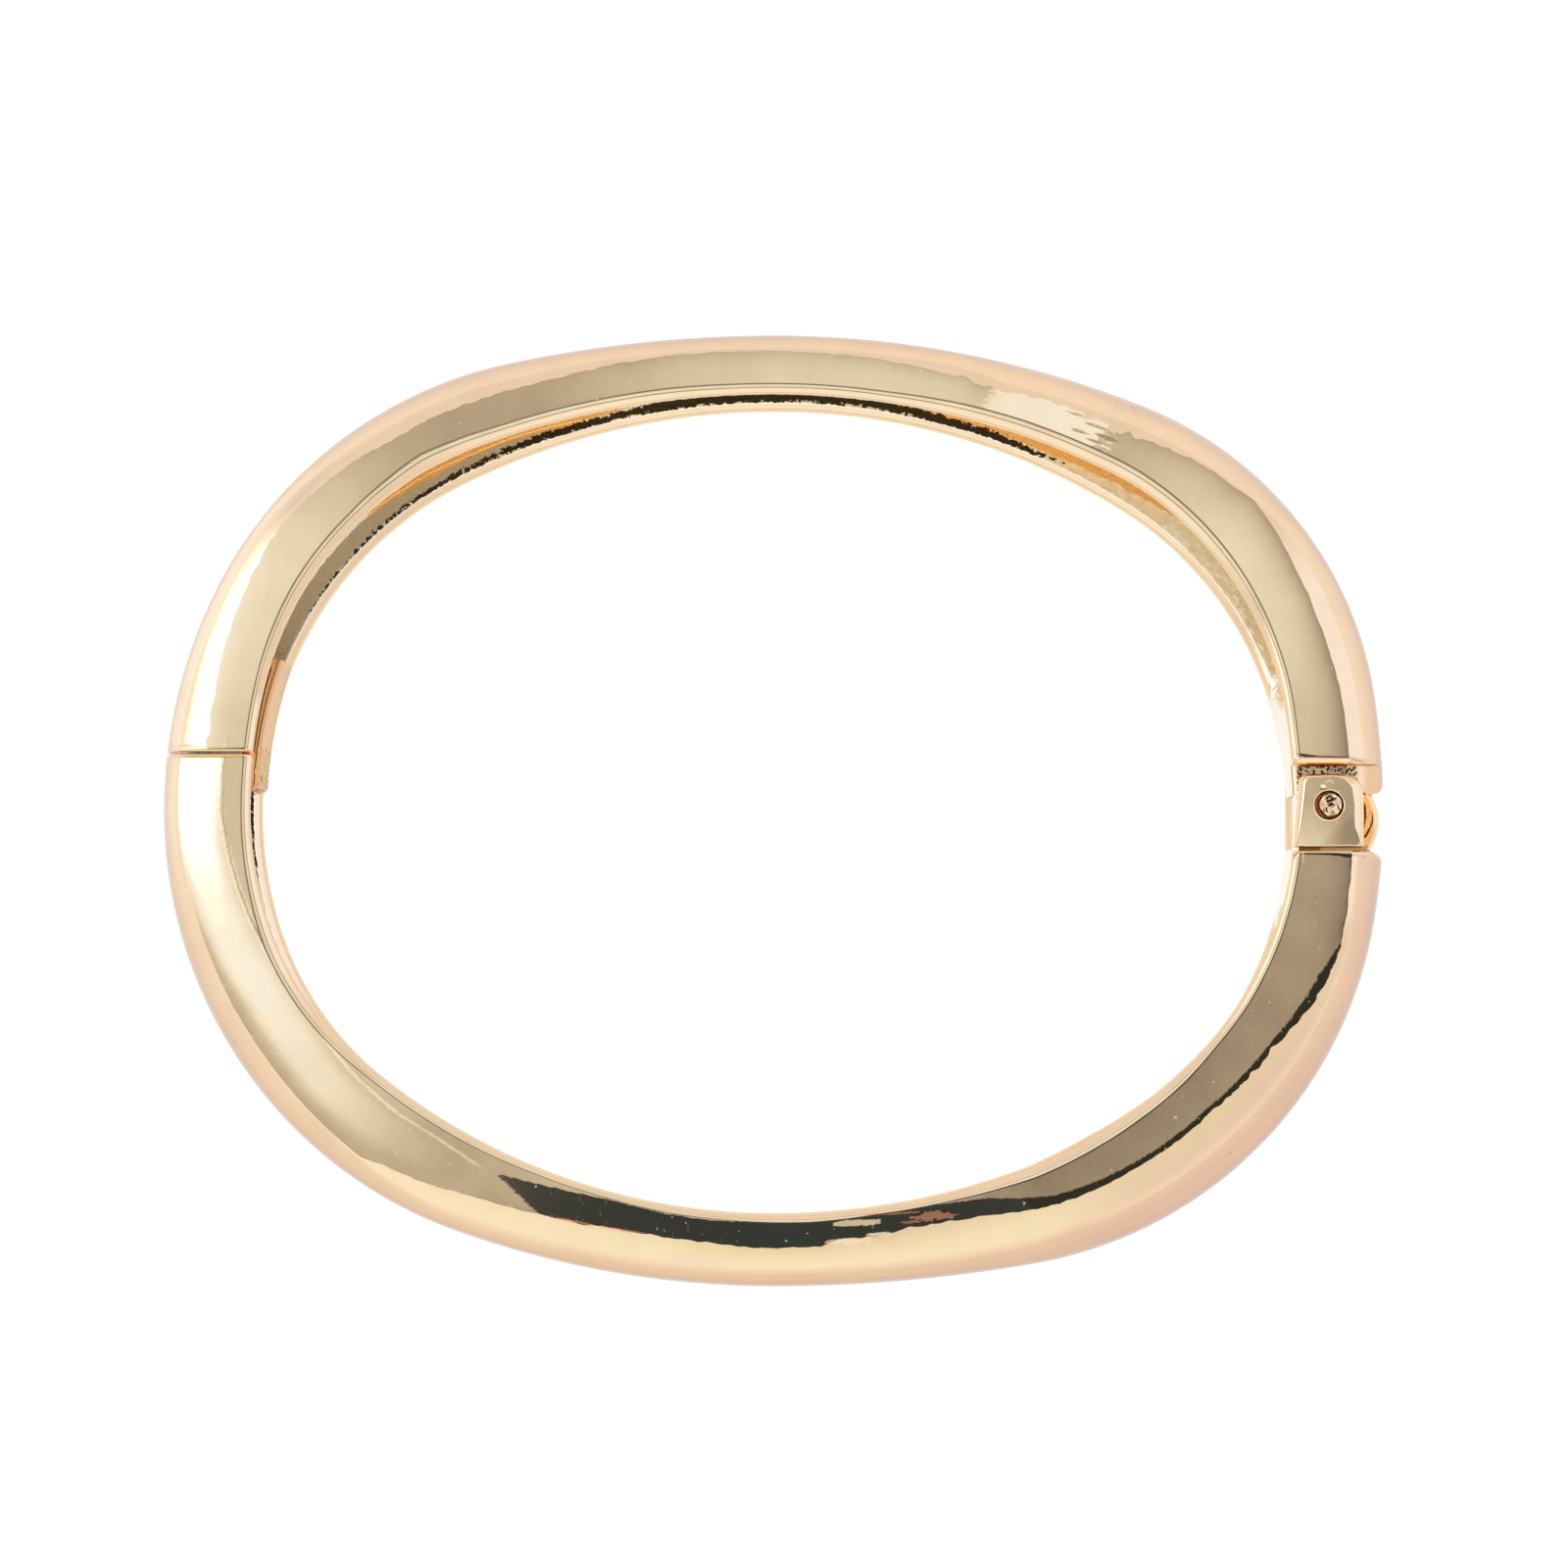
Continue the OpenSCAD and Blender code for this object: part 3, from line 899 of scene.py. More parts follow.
    def lip_slope(self, points: Array, share: Array, outward: Array) -> Array:
        """Outward slopes of the near lip's rounding.

        Args:
            points: places on the rounding.
            share: how far across the rounding they lie, 0 to 1.
            outward: unit vectors away from the opening.

        Returns:
            One slope for each point.
        """
        lens = self.toward_lens(points, outward)
        slope = look_up([(at, value or 0.0) for at, value in LIP_SLOPES], share, None)
        dark = look_up([(at, float(value is None)) for at, value in LIP_SLOPES], share, None)
        dark = dark * look_up(LIP_LINES, VIEW.read(points)[0])
        rough = ripples(points[..., :2], self.LIP_RIPPLES)
        return mix(slope, lens + self.LINE_LEAN, dark) + rough


# The swept band

@dataclass(frozen=True)
class BandEnd:
    """One end of a half of the band.

    Args:
        side: 1 at the hinge, -1 at the clasp.
        y: height of the end above the middle.
        plan_r: radius of the end's corner, seen from above.
        edge_r: radius of the edge of the near side face.
        channel_y: distance from the middle at which the channel stops, or None.
    """

    side: int
    y: float
    plan_r: float
    edge_r: float
    channel_y: float | None


class Stations:
    """Places along the outer oval at which the band's section stands."""

    SPACING = 0.17
    # Distances of the stations from an end
    FINE = (0.0, 0.008, 0.02, 0.04, 0.065, 0.1, 0.14, 0.19, 0.25, 0.32, 0.4, 0.5, 0.62, 0.75)
    # Distances of the stations from a place where the section steps
    STEP = (-0.3, -0.2, -0.1, -0.004, 0.004, 0.05, 0.1, 0.15, 0.2, 0.25, 0.3, 0.36, 0.42, 0.48,
            0.54, 0.6, 0.66)
    # Samples of the oval, and the degrees within which an end is looked for
    SAMPLES = 24001
    WINDOW = 40
    # Up to which height above the middle the section stands square to the side, and how softly
    SQUARE = 8.5
    SQUARE_FADE = 4.0
    # A place is at the hinge or the clasp beyond this distance from the middle
    SIDE_X = 20.0

    def __init__(self, first: BandEnd, last: BandEnd, steps: Sequence[float] = ()) -> None:
        """Spreads the stations anticlockwise from one end to the other.

        Args:
            first: the end where they start.
            last: the end where they stop.
            steps: distances from the first end at which the section steps.
        """
        turn = np.linspace(-60, 420, self.SAMPLES)
        points, normals = OUTER.point(turn)
        run = np.concatenate([[0], np.cumsum(np.linalg.norm(np.diff(points, axis=0), axis=1))])
        low = self._find(points, turn, first, -20 if first.side > 0 else 160)
        high = self._find(points, turn, last, 160 if last.side < 0 else 340)
        length = run[high] - run[low]
        fine = np.array(self.FINE)
        even = np.arange(fine[-1] + self.SPACING, length - fine[-1], self.SPACING)
        places = [even, fine, length - fine] + [step + np.array(self.STEP) for step in steps]
        along = np.unique(np.round(np.concatenate(places), 4))
        at = run[low] + along
        self.outline = np.stack([np.interp(at, run, points[:, i]) for i in (0, 1)], -1)
        normal = np.stack([np.interp(at, run, normals[:, i]) for i in (0, 1)], -1)
        level = np.clip((self.SQUARE - abs(self.outline[:, 1])) / self.SQUARE_FADE, 0, 1)[:, None]
        level = ease(level) * (abs(self.outline[:, :1]) > self.SIDE_X)
        self.outward = unit(mix(normal, np.sign(self.outline) * np.array([1, 0]), level))
        self.y = self.outline[:, 1]
        self.count = len(along)

    def _find(self, points: Array, turn: Array, end: BandEnd, start: float) -> int:
        """Index of the sample nearest to an end, in the window from some angle on."""
        near = (turn > start) & (turn < start + self.WINDOW)
        return int(np.argmin(np.where(near, abs(points[:, 1] - end.y), np.inf)))

    def beside(self, side: int) -> Array:
        """Which stations stand at the hinge, for 1, or at the clasp, for -1, as one column."""
        return (self.outline[:, 0] * side > self.SIDE_X)[:, None]


class Section:
    """Grid of the band's surface: one row for each station, one column for each profile point."""

    # Sines and heights that follow from the section's radii
    CROWN_TURN = math.asin((HALF_W - SHOULDER_R) / (CROWN_R - SHOULDER_R))
    SHOULDER_T = CROWN_R - math.sqrt((CROWN_R - SHOULDER_R) ** 2 - (HALF_W - SHOULDER_R) ** 2)
    HOLLOW_R = CROWN_R - WALL_T
    HOLLOW_ARM = HALF_W - LIP_T - CHANNEL_R
    HOLLOW_T = CROWN_R - math.sqrt((HOLLOW_R - CHANNEL_R) ** 2 - HOLLOW_ARM**2)
    HOLLOW_TURN = math.asin(HOLLOW_ARM / (HOLLOW_R - CHANNEL_R))
    # The shoulder: the most that its end leans, how far its curve holds on, and its columns
    MOST_LEAN = 0.8
    HOLD = 0.62
    SHOULDER_STEPS = 20
    # The flat: its gap to the shoulder, its least width and its columns
    CREASE = 0.012
    LEAST_FLAT = 0.3
    FLAT_STEPS = 38
    # The near lip: its columns, the depth of its upper rounding and the radius of the lower one
    LIP_STEPS = 18
    LIP_DROP = 0.6
    LOWER_NOSE = 0.35
    # The channel's ends by side: how they slant, and over what length they close
    END_SLANT = {-1: 0.5, 1: -0.2}
    END_LENGTH = {-1: 0.35, 1: 3.0}
    # The shorter of the lengths, and how much of what the longer has more lies before the end
    END_SHARP = 0.35
    END_EARLY = 0.4
    # How sharply the raw surface ends where the channel closes
    RAW_EDGE = 6
    # The raw strip beside the ear: where it starts and ends, and its tone, painted shade of the
    # recess between the ear and the band
    ROOT = (29.3, 32.75)
    ROOT_TONE: Colour = (1.0, 0.80, 0.55)
    # The corner of the hinge's lobe, and from where a lobe's edge is rounded
    LOBE_R = 1.0
    LOBE_EDGE = (2.3, 0.6)
    # How far a zone's value counts on either side of its edge, in pixels
    ZONE_REACH = 10
    # The least depth of the rim for its tone, and over what depth the tone fades, in pixels
    TONE_RIM = 12
    TONE_FADE = 4
    # How far an island's tone reaches, in parts of its size
    ISLAND_EDGE = 1.2
    # Less than this much rounding leaves the polish as it is
    UNTOUCHED = 0.001

    def __init__(self, stations: Stations, ends: Sequence[BandEnd], polish: Polish) -> None:
        """Works out the grid.

        Args:
            stations: where the sections stand.
            ends: the band's two ends.
            polish: slopes of the near side face.
        """
        self.st = stations
        self.ends = ends
        self.polish = polish
        self.has_lobe = any(end.y == LOBE_Y for end in ends)
        self.t: list[Array] = []
        self.z: list[Array] = []
        self.kind: list[str] = []
        self.near = NEAR.depth(stations.outline, -stations.outward)
        self.far = FAR.depth(stations.outline, -stations.outward)
        angle, _ = VIEW.read(self._lay(self.near[:, None], np.array(BAND_W)))
        shift = look_up(LIP_SHIFTS, angle[:, 0]) / VIEW.face_scale
        self.near = (self.near + shift)[:, None]
        self.far = (self.far + np.where(stations.y < 0, shift, 0))[:, None]
        self._top()
        self._channel()
        self._far_side()
        self.depth = np.concatenate(self.t, 1)
        self.height = np.concatenate(self.z, 1)
        self.kinds = np.array(self.kind)
        self.cast = np.zeros_like(self.depth)
        self._close_channel()
        self._round_ends()

    def _add(self, t: Array, z: Array, kind: str) -> None:
        """Adds profile columns. t and z are (stations, columns) or can be broadcast to it."""
        shape = (self.st.count, np.broadcast_shapes(np.shape(t), np.shape(z))[-1])
        self.t.append(np.broadcast_to(t, shape).astype(float))
        self.z.append(np.broadcast_to(z, shape).astype(float))
        self.kind += [kind] * shape[1]

    def _lay(self, depth: Array, height: Array) -> Array:
        """Places at a depth and height of the section."""
        flat = self.st.outline[:, None, :] - depth[..., None] * self.st.outward[:, None, :]
        return np.concatenate([flat, np.broadcast_to(height, depth.shape)[..., None]], -1)

    def _read_top(self, depth: Array) -> tuple[Array, Array]:
        """The photograph's angle and depth of places on the near side face."""
        return VIEW.read(self._lay(depth, np.array(BAND_W)))

    def _edge(self) -> Array:
        """Depth of the shoulder's end at each station."""
        noise = np.random.default_rng(SEED).normal(size=self.st.count)
        broad = np.convolve(noise, np.ones(7) / 7, "same")
        jitter = np.convolve(noise, [0.3, 0.4, 0.3], "same") + 0.5 * broad
        edge = np.full((self.st.count, 1), 2.0)
        for _ in range(5):
            angle, depth = self._read_top(edge)
            edge += (self.polish.edge(angle, jitter[:, None]) - depth) / VIEW.face_scale
        return edge

    def _top(self) -> None:
        """Lays the crown, the near shoulder, the flat and the near lip."""
        turn = np.linspace(-self.CROWN_TURN, self.CROWN_TURN, 9)[1:-1]
        self._add(CROWN_R * (1 - np.cos(turn)), HALF_W + CROWN_R * np.sin(turn), "crown")
        edge = self._edge()
        angle, _ = self._read_top(edge)
        lip_angle, _ = self._read_top(self.near - 0.4)
        wide = self.polish.lip_width(lip_angle)
        self.edge = edge = np.minimum(edge, self.near - wide - self.LEAST_FLAT)
        self._shoulder(edge, np.minimum(self.polish.column("lean", angle), self.MOST_LEAN))
        g = np.linspace(0, 1, self.FLAT_STEPS)
        g = 0.5 * g + 0.5 * (1 - np.cos(math.pi * g)) / 2
        self.stop = self.near - wide
        self._add(edge + self.CREASE + (self.stop - edge - self.CREASE) * g, BAND_W, "flat")
        f = np.linspace(0, 1, self.LIP_STEPS + 1)[1:]
        self.lip_share = f = (f + np.sin(f * math.pi / 2)) / 2
        self._add(self.stop + wide * f, BAND_W - self.LIP_DROP * (1 - np.sqrt(1 - f * f)), "nose")

    def _shoulder(self, edge: Array, lean: Array) -> None:
        """Lays the near shoulder, as a cubic from the crown to its end with a given lean."""
        sine, cosine = math.sin(self.CROWN_TURN), math.cos(self.CROWN_TURN)
        start_t, start_z = CROWN_R * (1 - cosine), HALF_W + CROWN_R * sine
        run, rise = edge - start_t, BAND_W - start_z
        b = (run - sine * rise / cosine) / (1 - sine * lean / cosine)
        a = (rise - b * lean) / cosine
        s = np.linspace(0, 1, self.SHOULDER_STEPS)
        s = s * (1.25 - 0.25 * s)
        corners = [
            (start_t, start_z),
            (start_t + self.HOLD * a * sine, start_z + self.HOLD * a * cosine),
            (edge - self.HOLD * b, BAND_W - self.HOLD * b * lean),
            (edge, BAND_W + 0 * edge),
        ]
        shares = [(1 - s) ** 3, 3 * s * (1 - s) ** 2, 3 * s * s * (1 - s), s**3]
        t, z = (sum(k * corner[i] for k, corner in zip(shares, corners)) for i in (0, 1))
        self._add(t, z, "shoulder")

    def _channel(self) -> None:
        """Lays the wall and the lower rounding of the near lip, and then the channel."""
        nose = self.LOWER_NOSE
        c = np.linspace(0, math.pi / 2, 6)
        floor = BAND_W - LIP_T
        self._add(self.near - nose * (1 - np.cos(c)), floor + nose - nose * np.sin(c), "inside")
        reach = self.HOLLOW_T - self.near + nose
        self._add(self.near - nose + reach * np.linspace(0, 1, 5)[1:], floor, "inside")
        curves = [
            (self.HOLLOW_T, CHANNEL_R, self.HOLLOW_ARM,
             np.linspace(math.pi / 2, self.HOLLOW_TURN, 6)[1:]),
            (CROWN_R, self.HOLLOW_R, 0, np.linspace(self.HOLLOW_TURN, -self.HOLLOW_TURN, 9)[1:-1]),
            (self.HOLLOW_T, CHANNEL_R, -self.HOLLOW_ARM,
             np.linspace(-self.HOLLOW_TURN, -math.pi / 2, 6)),
        ]
        for middle, radius, rise, turn in curves:
            t, z = middle - radius * np.cos(turn), HALF_W + rise + radius * np.sin(turn)
            self._add(t, z, "inside")
        reach = self.far - NOSE_R - self.HOLLOW_T
        self._add(self.HOLLOW_T + reach * np.linspace(0, 1, 15)[1:] ** 0.7, LIP_T, "inside")
        self.hollow = len(self.kind)

    def _far_side(self) -> None:
        """Lays the far lip, the far side face and its shoulder."""
        nose = self.far - NOSE_R
        c = np.linspace(0, math.pi / 2, 8)[1:]
        self._add(nose + NOSE_R * np.sin(c), LIP_T - NOSE_R + NOSE_R * np.cos(c), "inside")
        c = np.linspace(0, math.pi / 2, 6)
        self._add(nose + NOSE_R * np.cos(c), NOSE_R - NOSE_R * np.sin(c), "far")
        width = nose - self.SHOULDER_T
        self._add(nose - width * np.linspace(0, 1, 5)[1:], 0.0, "far")
        c = np.linspace(-math.pi / 2, -self.CROWN_TURN, 10)[1:]
        t, z = self.SHOULDER_T - SHOULDER_R * np.cos(c), SHOULDER_R + SHOULDER_R * np.sin(c)
        self._add(t, z, "crown")

    def _close_channel(self) -> None:
        """Fills the channel near the ends where it stops."""
        inside = self.kinds == "inside"
        open_share = np.ones_like(self.depth)
        for end in self.ends:
            if end.channel_y is None:
                continue
            length = self.END_LENGTH[end.side]
            stop = end.channel_y + self.END_SLANT[end.side] * (self.height - HALF_W)
            stop = stop - self.END_EARLY * (length - self.END_SHARP)
            gone = ease(np.clip((abs(self.st.y)[:, None] - stop) / length, 0, 1))
            here = self.st.beside(end.side)
            open_share = np.where(here, np.minimum(open_share, gone), open_share)
        wall_z = np.linspace(BAND_W - 0.62, NOSE_R + 0.02, int(inside.sum()))[None, :]
        share = (BAND_W - wall_z) / BAND_W
        wall_t = self.near * (1 - share) + self.far * share
        share = open_share[:, inside]
        self.depth[:, inside] = mix(wall_t, self.depth[:, inside], share)
        self.height[:, inside] = mix(wall_z, self.height[:, inside], share)
        self.cast[:, inside] = np.clip(share * self.RAW_EDGE, 0, 1)
        self.cast[:, self.hollow:] = 0

    def _round_ends(self) -> None:
        """Rounds the band's ends and steps the upper half down to the knuckle."""
        across = np.gradient(self.depth, axis=1)
        up = np.gradient(self.height, axis=1)
        size = np.hypot(across, up) + 1e-9
        normal_t, normal_z = -up / size, across / size
        self.inset = np.zeros_like(self.depth)
        outer = np.isin(self.kinds, ("crown", "shoulder", "flat", "nose", "far"))
        for end in self.ends:
            gap = abs(self.st.y - end.y)[:, None]
            radius = mix(end.plan_r, end.edge_r, normal_z**2)
            if end.y == LOBE_Y:
                start, length = self.LOBE_EDGE
                gap = (self.st.y - UPPER_END_Y)[:, None]
                radius = end.edge_r * np.clip((abs(self.height - HALF_W) - start) / length, 0, 1)
                gap = np.where(gap < 0, FAR_OFF, gap)
            reach = np.clip(radius - gap, 0, None)
            inset = radius - np.sqrt(np.maximum(radius**2 - reach**2, 0))
            self.inset += np.where(self.st.beside(end.side) & outer[None, :], inset, 0)
        self.depth -= normal_t * self.inset
        self.height -= normal_z * self.inset
        if self.has_lobe:
            self._step_down()
            self.cast = np.maximum(self.cast, self.root())

    def _step_down(self) -> None:
        """Lowers the hinge's lobe to the knuckle's height and rounds its corner."""
        here = ((self.st.y < UPPER_END_Y) & (self.st.y > 0))[:, None] & self.st.beside(1)
        self.height = np.where(
            here, np.clip(self.height, KNUCKLE_Z, BAND_W - KNUCKLE_Z), self.height)
        reach = np.clip(self.LOBE_R - (self.st.y[:, None] - LOBE_Y), 0, self.LOBE_R)
        pull = self.LOBE_R - np.sqrt(np.maximum(self.LOBE_R**2 - reach**2, 0))
        self.depth = np.where(here, np.maximum(self.depth, pull + 0.02 * self.depth), self.depth)

    def points(self) -> Array:
        """Places of the grid's points."""
        return self._lay(self.depth, self.height)

    def _is(self, *kinds: str) -> Array:
        """Which columns are of some kinds, as one row."""
        return np.isin(self.kinds, kinds)[None, :]

    def zone(self, rows: Sequence[Zone]) -> Array:
        """How many pixels each point of the channel lies inside a zone, plus ten; 0 elsewhere."""
        angle, depth = VIEW.read(self.points())
        start, end = (column(rows, name, angle) for name in ("start", "end"))
        within = np.minimum(depth - start, end - depth)
        hollow = self._is("inside") & (np.arange(len(self.kinds)) < self.hollow)
        here = hollow & (angle > rows[0].angle) & (angle < rows[-1].angle)
        return np.where(here, np.clip(within + self.ZONE_REACH, 0, 2 * self.ZONE_REACH), 0)

    def tone(self) -> Array:
        """Factors of the base colour at each point."""
        points = self.points()
        angle, depth = VIEW.read(points)
        # Painted reflection tints, first on the shoulder's outer part and then on its inner part
        rim = np.maximum(self.polish.column("rim", angle), self.TONE_RIM)
        inner = np.clip((depth - rim) / self.TONE_FADE + 0.5, 0, 1)
        inner = inner * (self.height > BAND_W - SHOULDER_R)
        share = np.where(self._is("crown", "shoulder"), 1 - inner, 0.0)
        tone = 1 + (look_up_tone(RIM_REFLECTION_TONES, angle) - 1) * share[..., None]
        edge = self.polish.column("edge", angle)
        share = np.clip((depth - rim - 6) / np.maximum(edge - rim - 8, 4), 0, 1) * (1 - share)
        share = np.where(self._is("shoulder"), share, 0.0)
        tone = tone * (1 + (look_up_tone(EDGE_REFLECTION_TONES, angle) - 1) * share[..., None])
        near = (self.height > KNUCKLE_Z + HALF_W) & self._is("flat", "shoulder", "nose")
        # Painted dark reflection: the thin line of the field that mirrors the lens
        line = near & self._is("flat") & (angle > self.polish.LINE_FROM)
        line &= (angle < self.polish.DARK_END) & (depth < self.polish.column("strip", angle) + 1)
        tone = np.where(line[..., None], np.array(self.polish.LINE_TONE), tone)
        for spot in ISLANDS:
            here = near & (spot.size(angle, depth) < self.ISLAND_EDGE)
            tone = np.where(here[..., None], np.array(spot.tone), tone)
        # The strokes' tones: painted shade on the dark lines and painted reflection tints on the
        # others
        for stroke in STROKES:
            tone = stroke.tint(tone, points[..., :2], near)
        # Painted shade on the raw strip beside the ear
        return np.where(self.root()[..., None] > 0, np.array(self.ROOT_TONE), tone)

    def root(self) -> Array:
        """Where the raw strip beside the ear lies, 0 or 1."""
        low = (self.st.y < UPPER_END_Y - 0.004) & (self.st.y > 0)
        here = low[:, None] & self.st.beside(1) & (self.height > HALF_W) & self.has_lobe
        x = self.points()[..., 0]
        here &= self._is("flat", "shoulder", "nose") & (x > self.ROOT[0]) & (x < self.ROOT[1])
        return here.astype(float)

    def tune(self, normals: Array) -> Array:
        """Normals of the grid, with the polish of the near side face and its shoulder.

        Args:
            normals: the mesh's own normals.

        Returns:
            The normals with the polish.
        """
        tuned = normals.reshape(self.depth.shape + (3,)).copy()
        points = self.points()
        outward = np.broadcast_to(self.st.outward[:, None, :], self.depth.shape + (2,))
        own = self.inset < self.UNTOUCHED
        flat, lip, side = (
            np.nonzero(self.kinds == kind)[0] for kind in ("flat", "nose", "shoulder"))
        edge, stop = self._read_top(self.edge)[1], self._read_top(self.stop)[1]
        slope = self.polish.slope(points[:, flat], edge, stop, outward[:, flat])
        slope = np.where(self.inset[:, flat] > self.UNTOUCHED, 0, slope)
        tuned[:, flat, :2] += slope[..., None] * outward[:, flat]
        slope = self.polish.lip_slope(points[:, lip], self.lip_share[None, :], outward[:, lip])
        self._aim(tuned, lip, slope, np.ones_like(slope), own[:, lip])
        angle, depth = VIEW.read(points[:, side])
        tilt = self.polish.shoulder_tilt(angle, depth)
        self._aim(tuned, side, np.sin(tilt), np.cos(tilt), np.clip(depth / 4, 0, 1) * own[:, side])
        return unit(tuned).reshape(-1, 3)

    def _aim(self, tuned: Array, at: Array, out: Array, up: Array, share: Array) -> None:
        """Turns some columns' normals towards given outward and upward parts."""
        aimed = np.concatenate([out[..., None] * self.st.outward[:, None, :], up[..., None]], -1)
        tuned[:, at] += (aimed - tuned[:, at]) * share[..., None]


# Meshes

class Builder:
    """Makes the objects of the scene."""

    # Values at the points of the caps, 0 for the others
    CAP_VALUES = {"cast": (0.35,), "tone": (1.0, 0.68, 0.30)}

    @staticmethod
    def mesh(name: str, points: Array, faces: Iterable[Sequence[int]]) -> bpy.types.Object:
        """A mesh object that is shaded smooth.

        Args:
            name: its name.
            points: its points, in millimetres.
            faces: its faces.

        Returns:
            The object.
        """
        data = bpy.data.meshes.new(name)
        data.from_pydata((np.asarray(points) * MM).tolist(), [], [list(face) for face in faces])
        data.update()
        data.shade_smooth()
        obj = bpy.data.objects.new(name, data)
        bpy.context.scene.collection.objects.link(obj)
        return obj

    def grid(
        self, name: str, points: Array, cast: Array, caps: bool = True,
        extra: dict[str, Array] | None = None,
    ) -> bpy.types.Object:
        """A closed tube of sections, with flat caps whose points are their own.

        Args:
            name: its name.
            points: (sections, points of a section, 3).
            cast: how rough the surface is at each point, 0 to 1.
            caps: whether the ends are closed.
            extra: further values at each point, by name.

        Returns:
            The object.
        """
        rows, cols = points.shape[:2]
        index = np.arange(rows * cols).reshape(rows, cols)
        right = np.roll(index, -1, axis=1)
        faces = np.stack([index[:-1], index[1:], right[1:], right[:-1]], -1).reshape(-1, 4).tolist()
        spots = points.reshape(-1, 3)
        if caps:
            spots = np.concatenate([spots, points[0], points[-1]])
            base = rows * cols
            faces.append(list(range(base, base + cols)))
            faces.append(list(range(base + 2 * cols - 1, base + cols - 1, -1)))
        obj = self.mesh(name, spots, faces)
        for key, value in {"cast": cast, "tone": np.ones(points.shape), **(extra or {})}.items():
            wide = value.ndim == 3
            flat = value.reshape(rows * cols, -1)
            if caps:
                ends = np.tile(self.CAP_VALUES.get(key, (0.0,)), (2 * cols, 1))
                flat = np.concatenate([flat, ends])
            if wide:
                flat = np.concatenate([flat, np.ones((len(flat), 1))], 1)
            layer = obj.data.attributes.new(key, "FLOAT_COLOR" if wide else "FLOAT", "POINT")
            layer.data.foreach_set("color" if wide else "value", flat.ravel().astype(np.float32))
        return obj

    @staticmethod
    def normals(obj: bpy.types.Object) -> Array:
        """The mesh's own point normals."""
        out = np.zeros(len(obj.data.vertices) * 3, np.float32)
        obj.data.vertices.foreach_get("normal", out)
        return out.reshape(-1, 3).astype(float)

    @staticmethod
    def aim(obj: bpy.types.Object, normals: Array) -> None:
        """Gives the mesh's points normals of their own."""
        obj.data.normals_split_custom_set_from_vertices(unit(normals).reshape(-1, 3).tolist())


def lay_ring(way: Array, reach: Array, height: float) -> Array:
    """One ring of points round the pin."""
    flat = np.array(PIN) + reach[:, None] * way
    return np.concatenate([flat, np.full((len(way), 1), height)], -1)


@dataclass(frozen=True)
class Plate:
    """A plate whose outline is seen whole from its centre.

    Args:
        hole: radius of the hole in the middle.
        low: height of the underside.
        high: height of the top.
        drop: depth of the rounded edge.
        sink: depth of the wall of the hole.
        steps: number of rings on the top.
    """

    hole: float
    low: float
    high: float
    drop: float
    sink: float
    steps: int

    # Share of the hole's radius at which the first ring lies
    CORE = 0.7
    # Breaks of the hole's edge and of the underside's edge
    HOLE_EDGE = 0.06
    FOOT_EDGE = 0.1

    def rings(self, radius: Array, width: Array) -> tuple[Array, int]:
        """Lays the rings round the pin, from the hole over the top to the underside.

        Args:
            radius: distance of the outline from the centre, one value for each direction.
            width: width of the rounded edge in each direction.

        Returns:
            The rings as (rings, directions, 3), and the number of the ring where the edge starts.
        """
        way = circle(np.linspace(0, 2 * math.pi, len(radius), endpoint=False))
        hole = np.full(len(radius), self.hole)
        edge, rings = 0.0, []
        if self.sink:
            edge, foot = self.HOLE_EDGE, self.high - self.sink
            rings = [(hole * self.CORE, foot), (hole, foot), (hole, self.high - edge),
                     (hole + edge / 3, self.high - edge / 3)]
        start = radius - width
        rings += [(mix(hole + edge, start, f), self.high) for f in np.linspace(0, 1, self.steps)]
        first = len(rings) - 1
        for c in np.linspace(0, math.pi / 2, 10)[1:]:
            rings.append((start + width * math.sin(c), self.high - self.drop * (1 - math.cos(c))))
        rings += [(radius, self.low + self.FOOT_EDGE), (radius - self.FOOT_EDGE, self.low),
                  (hole * self.CORE, self.low)]
        return np.stack([lay_ring(way, reach, z) for reach, z in rings]), first


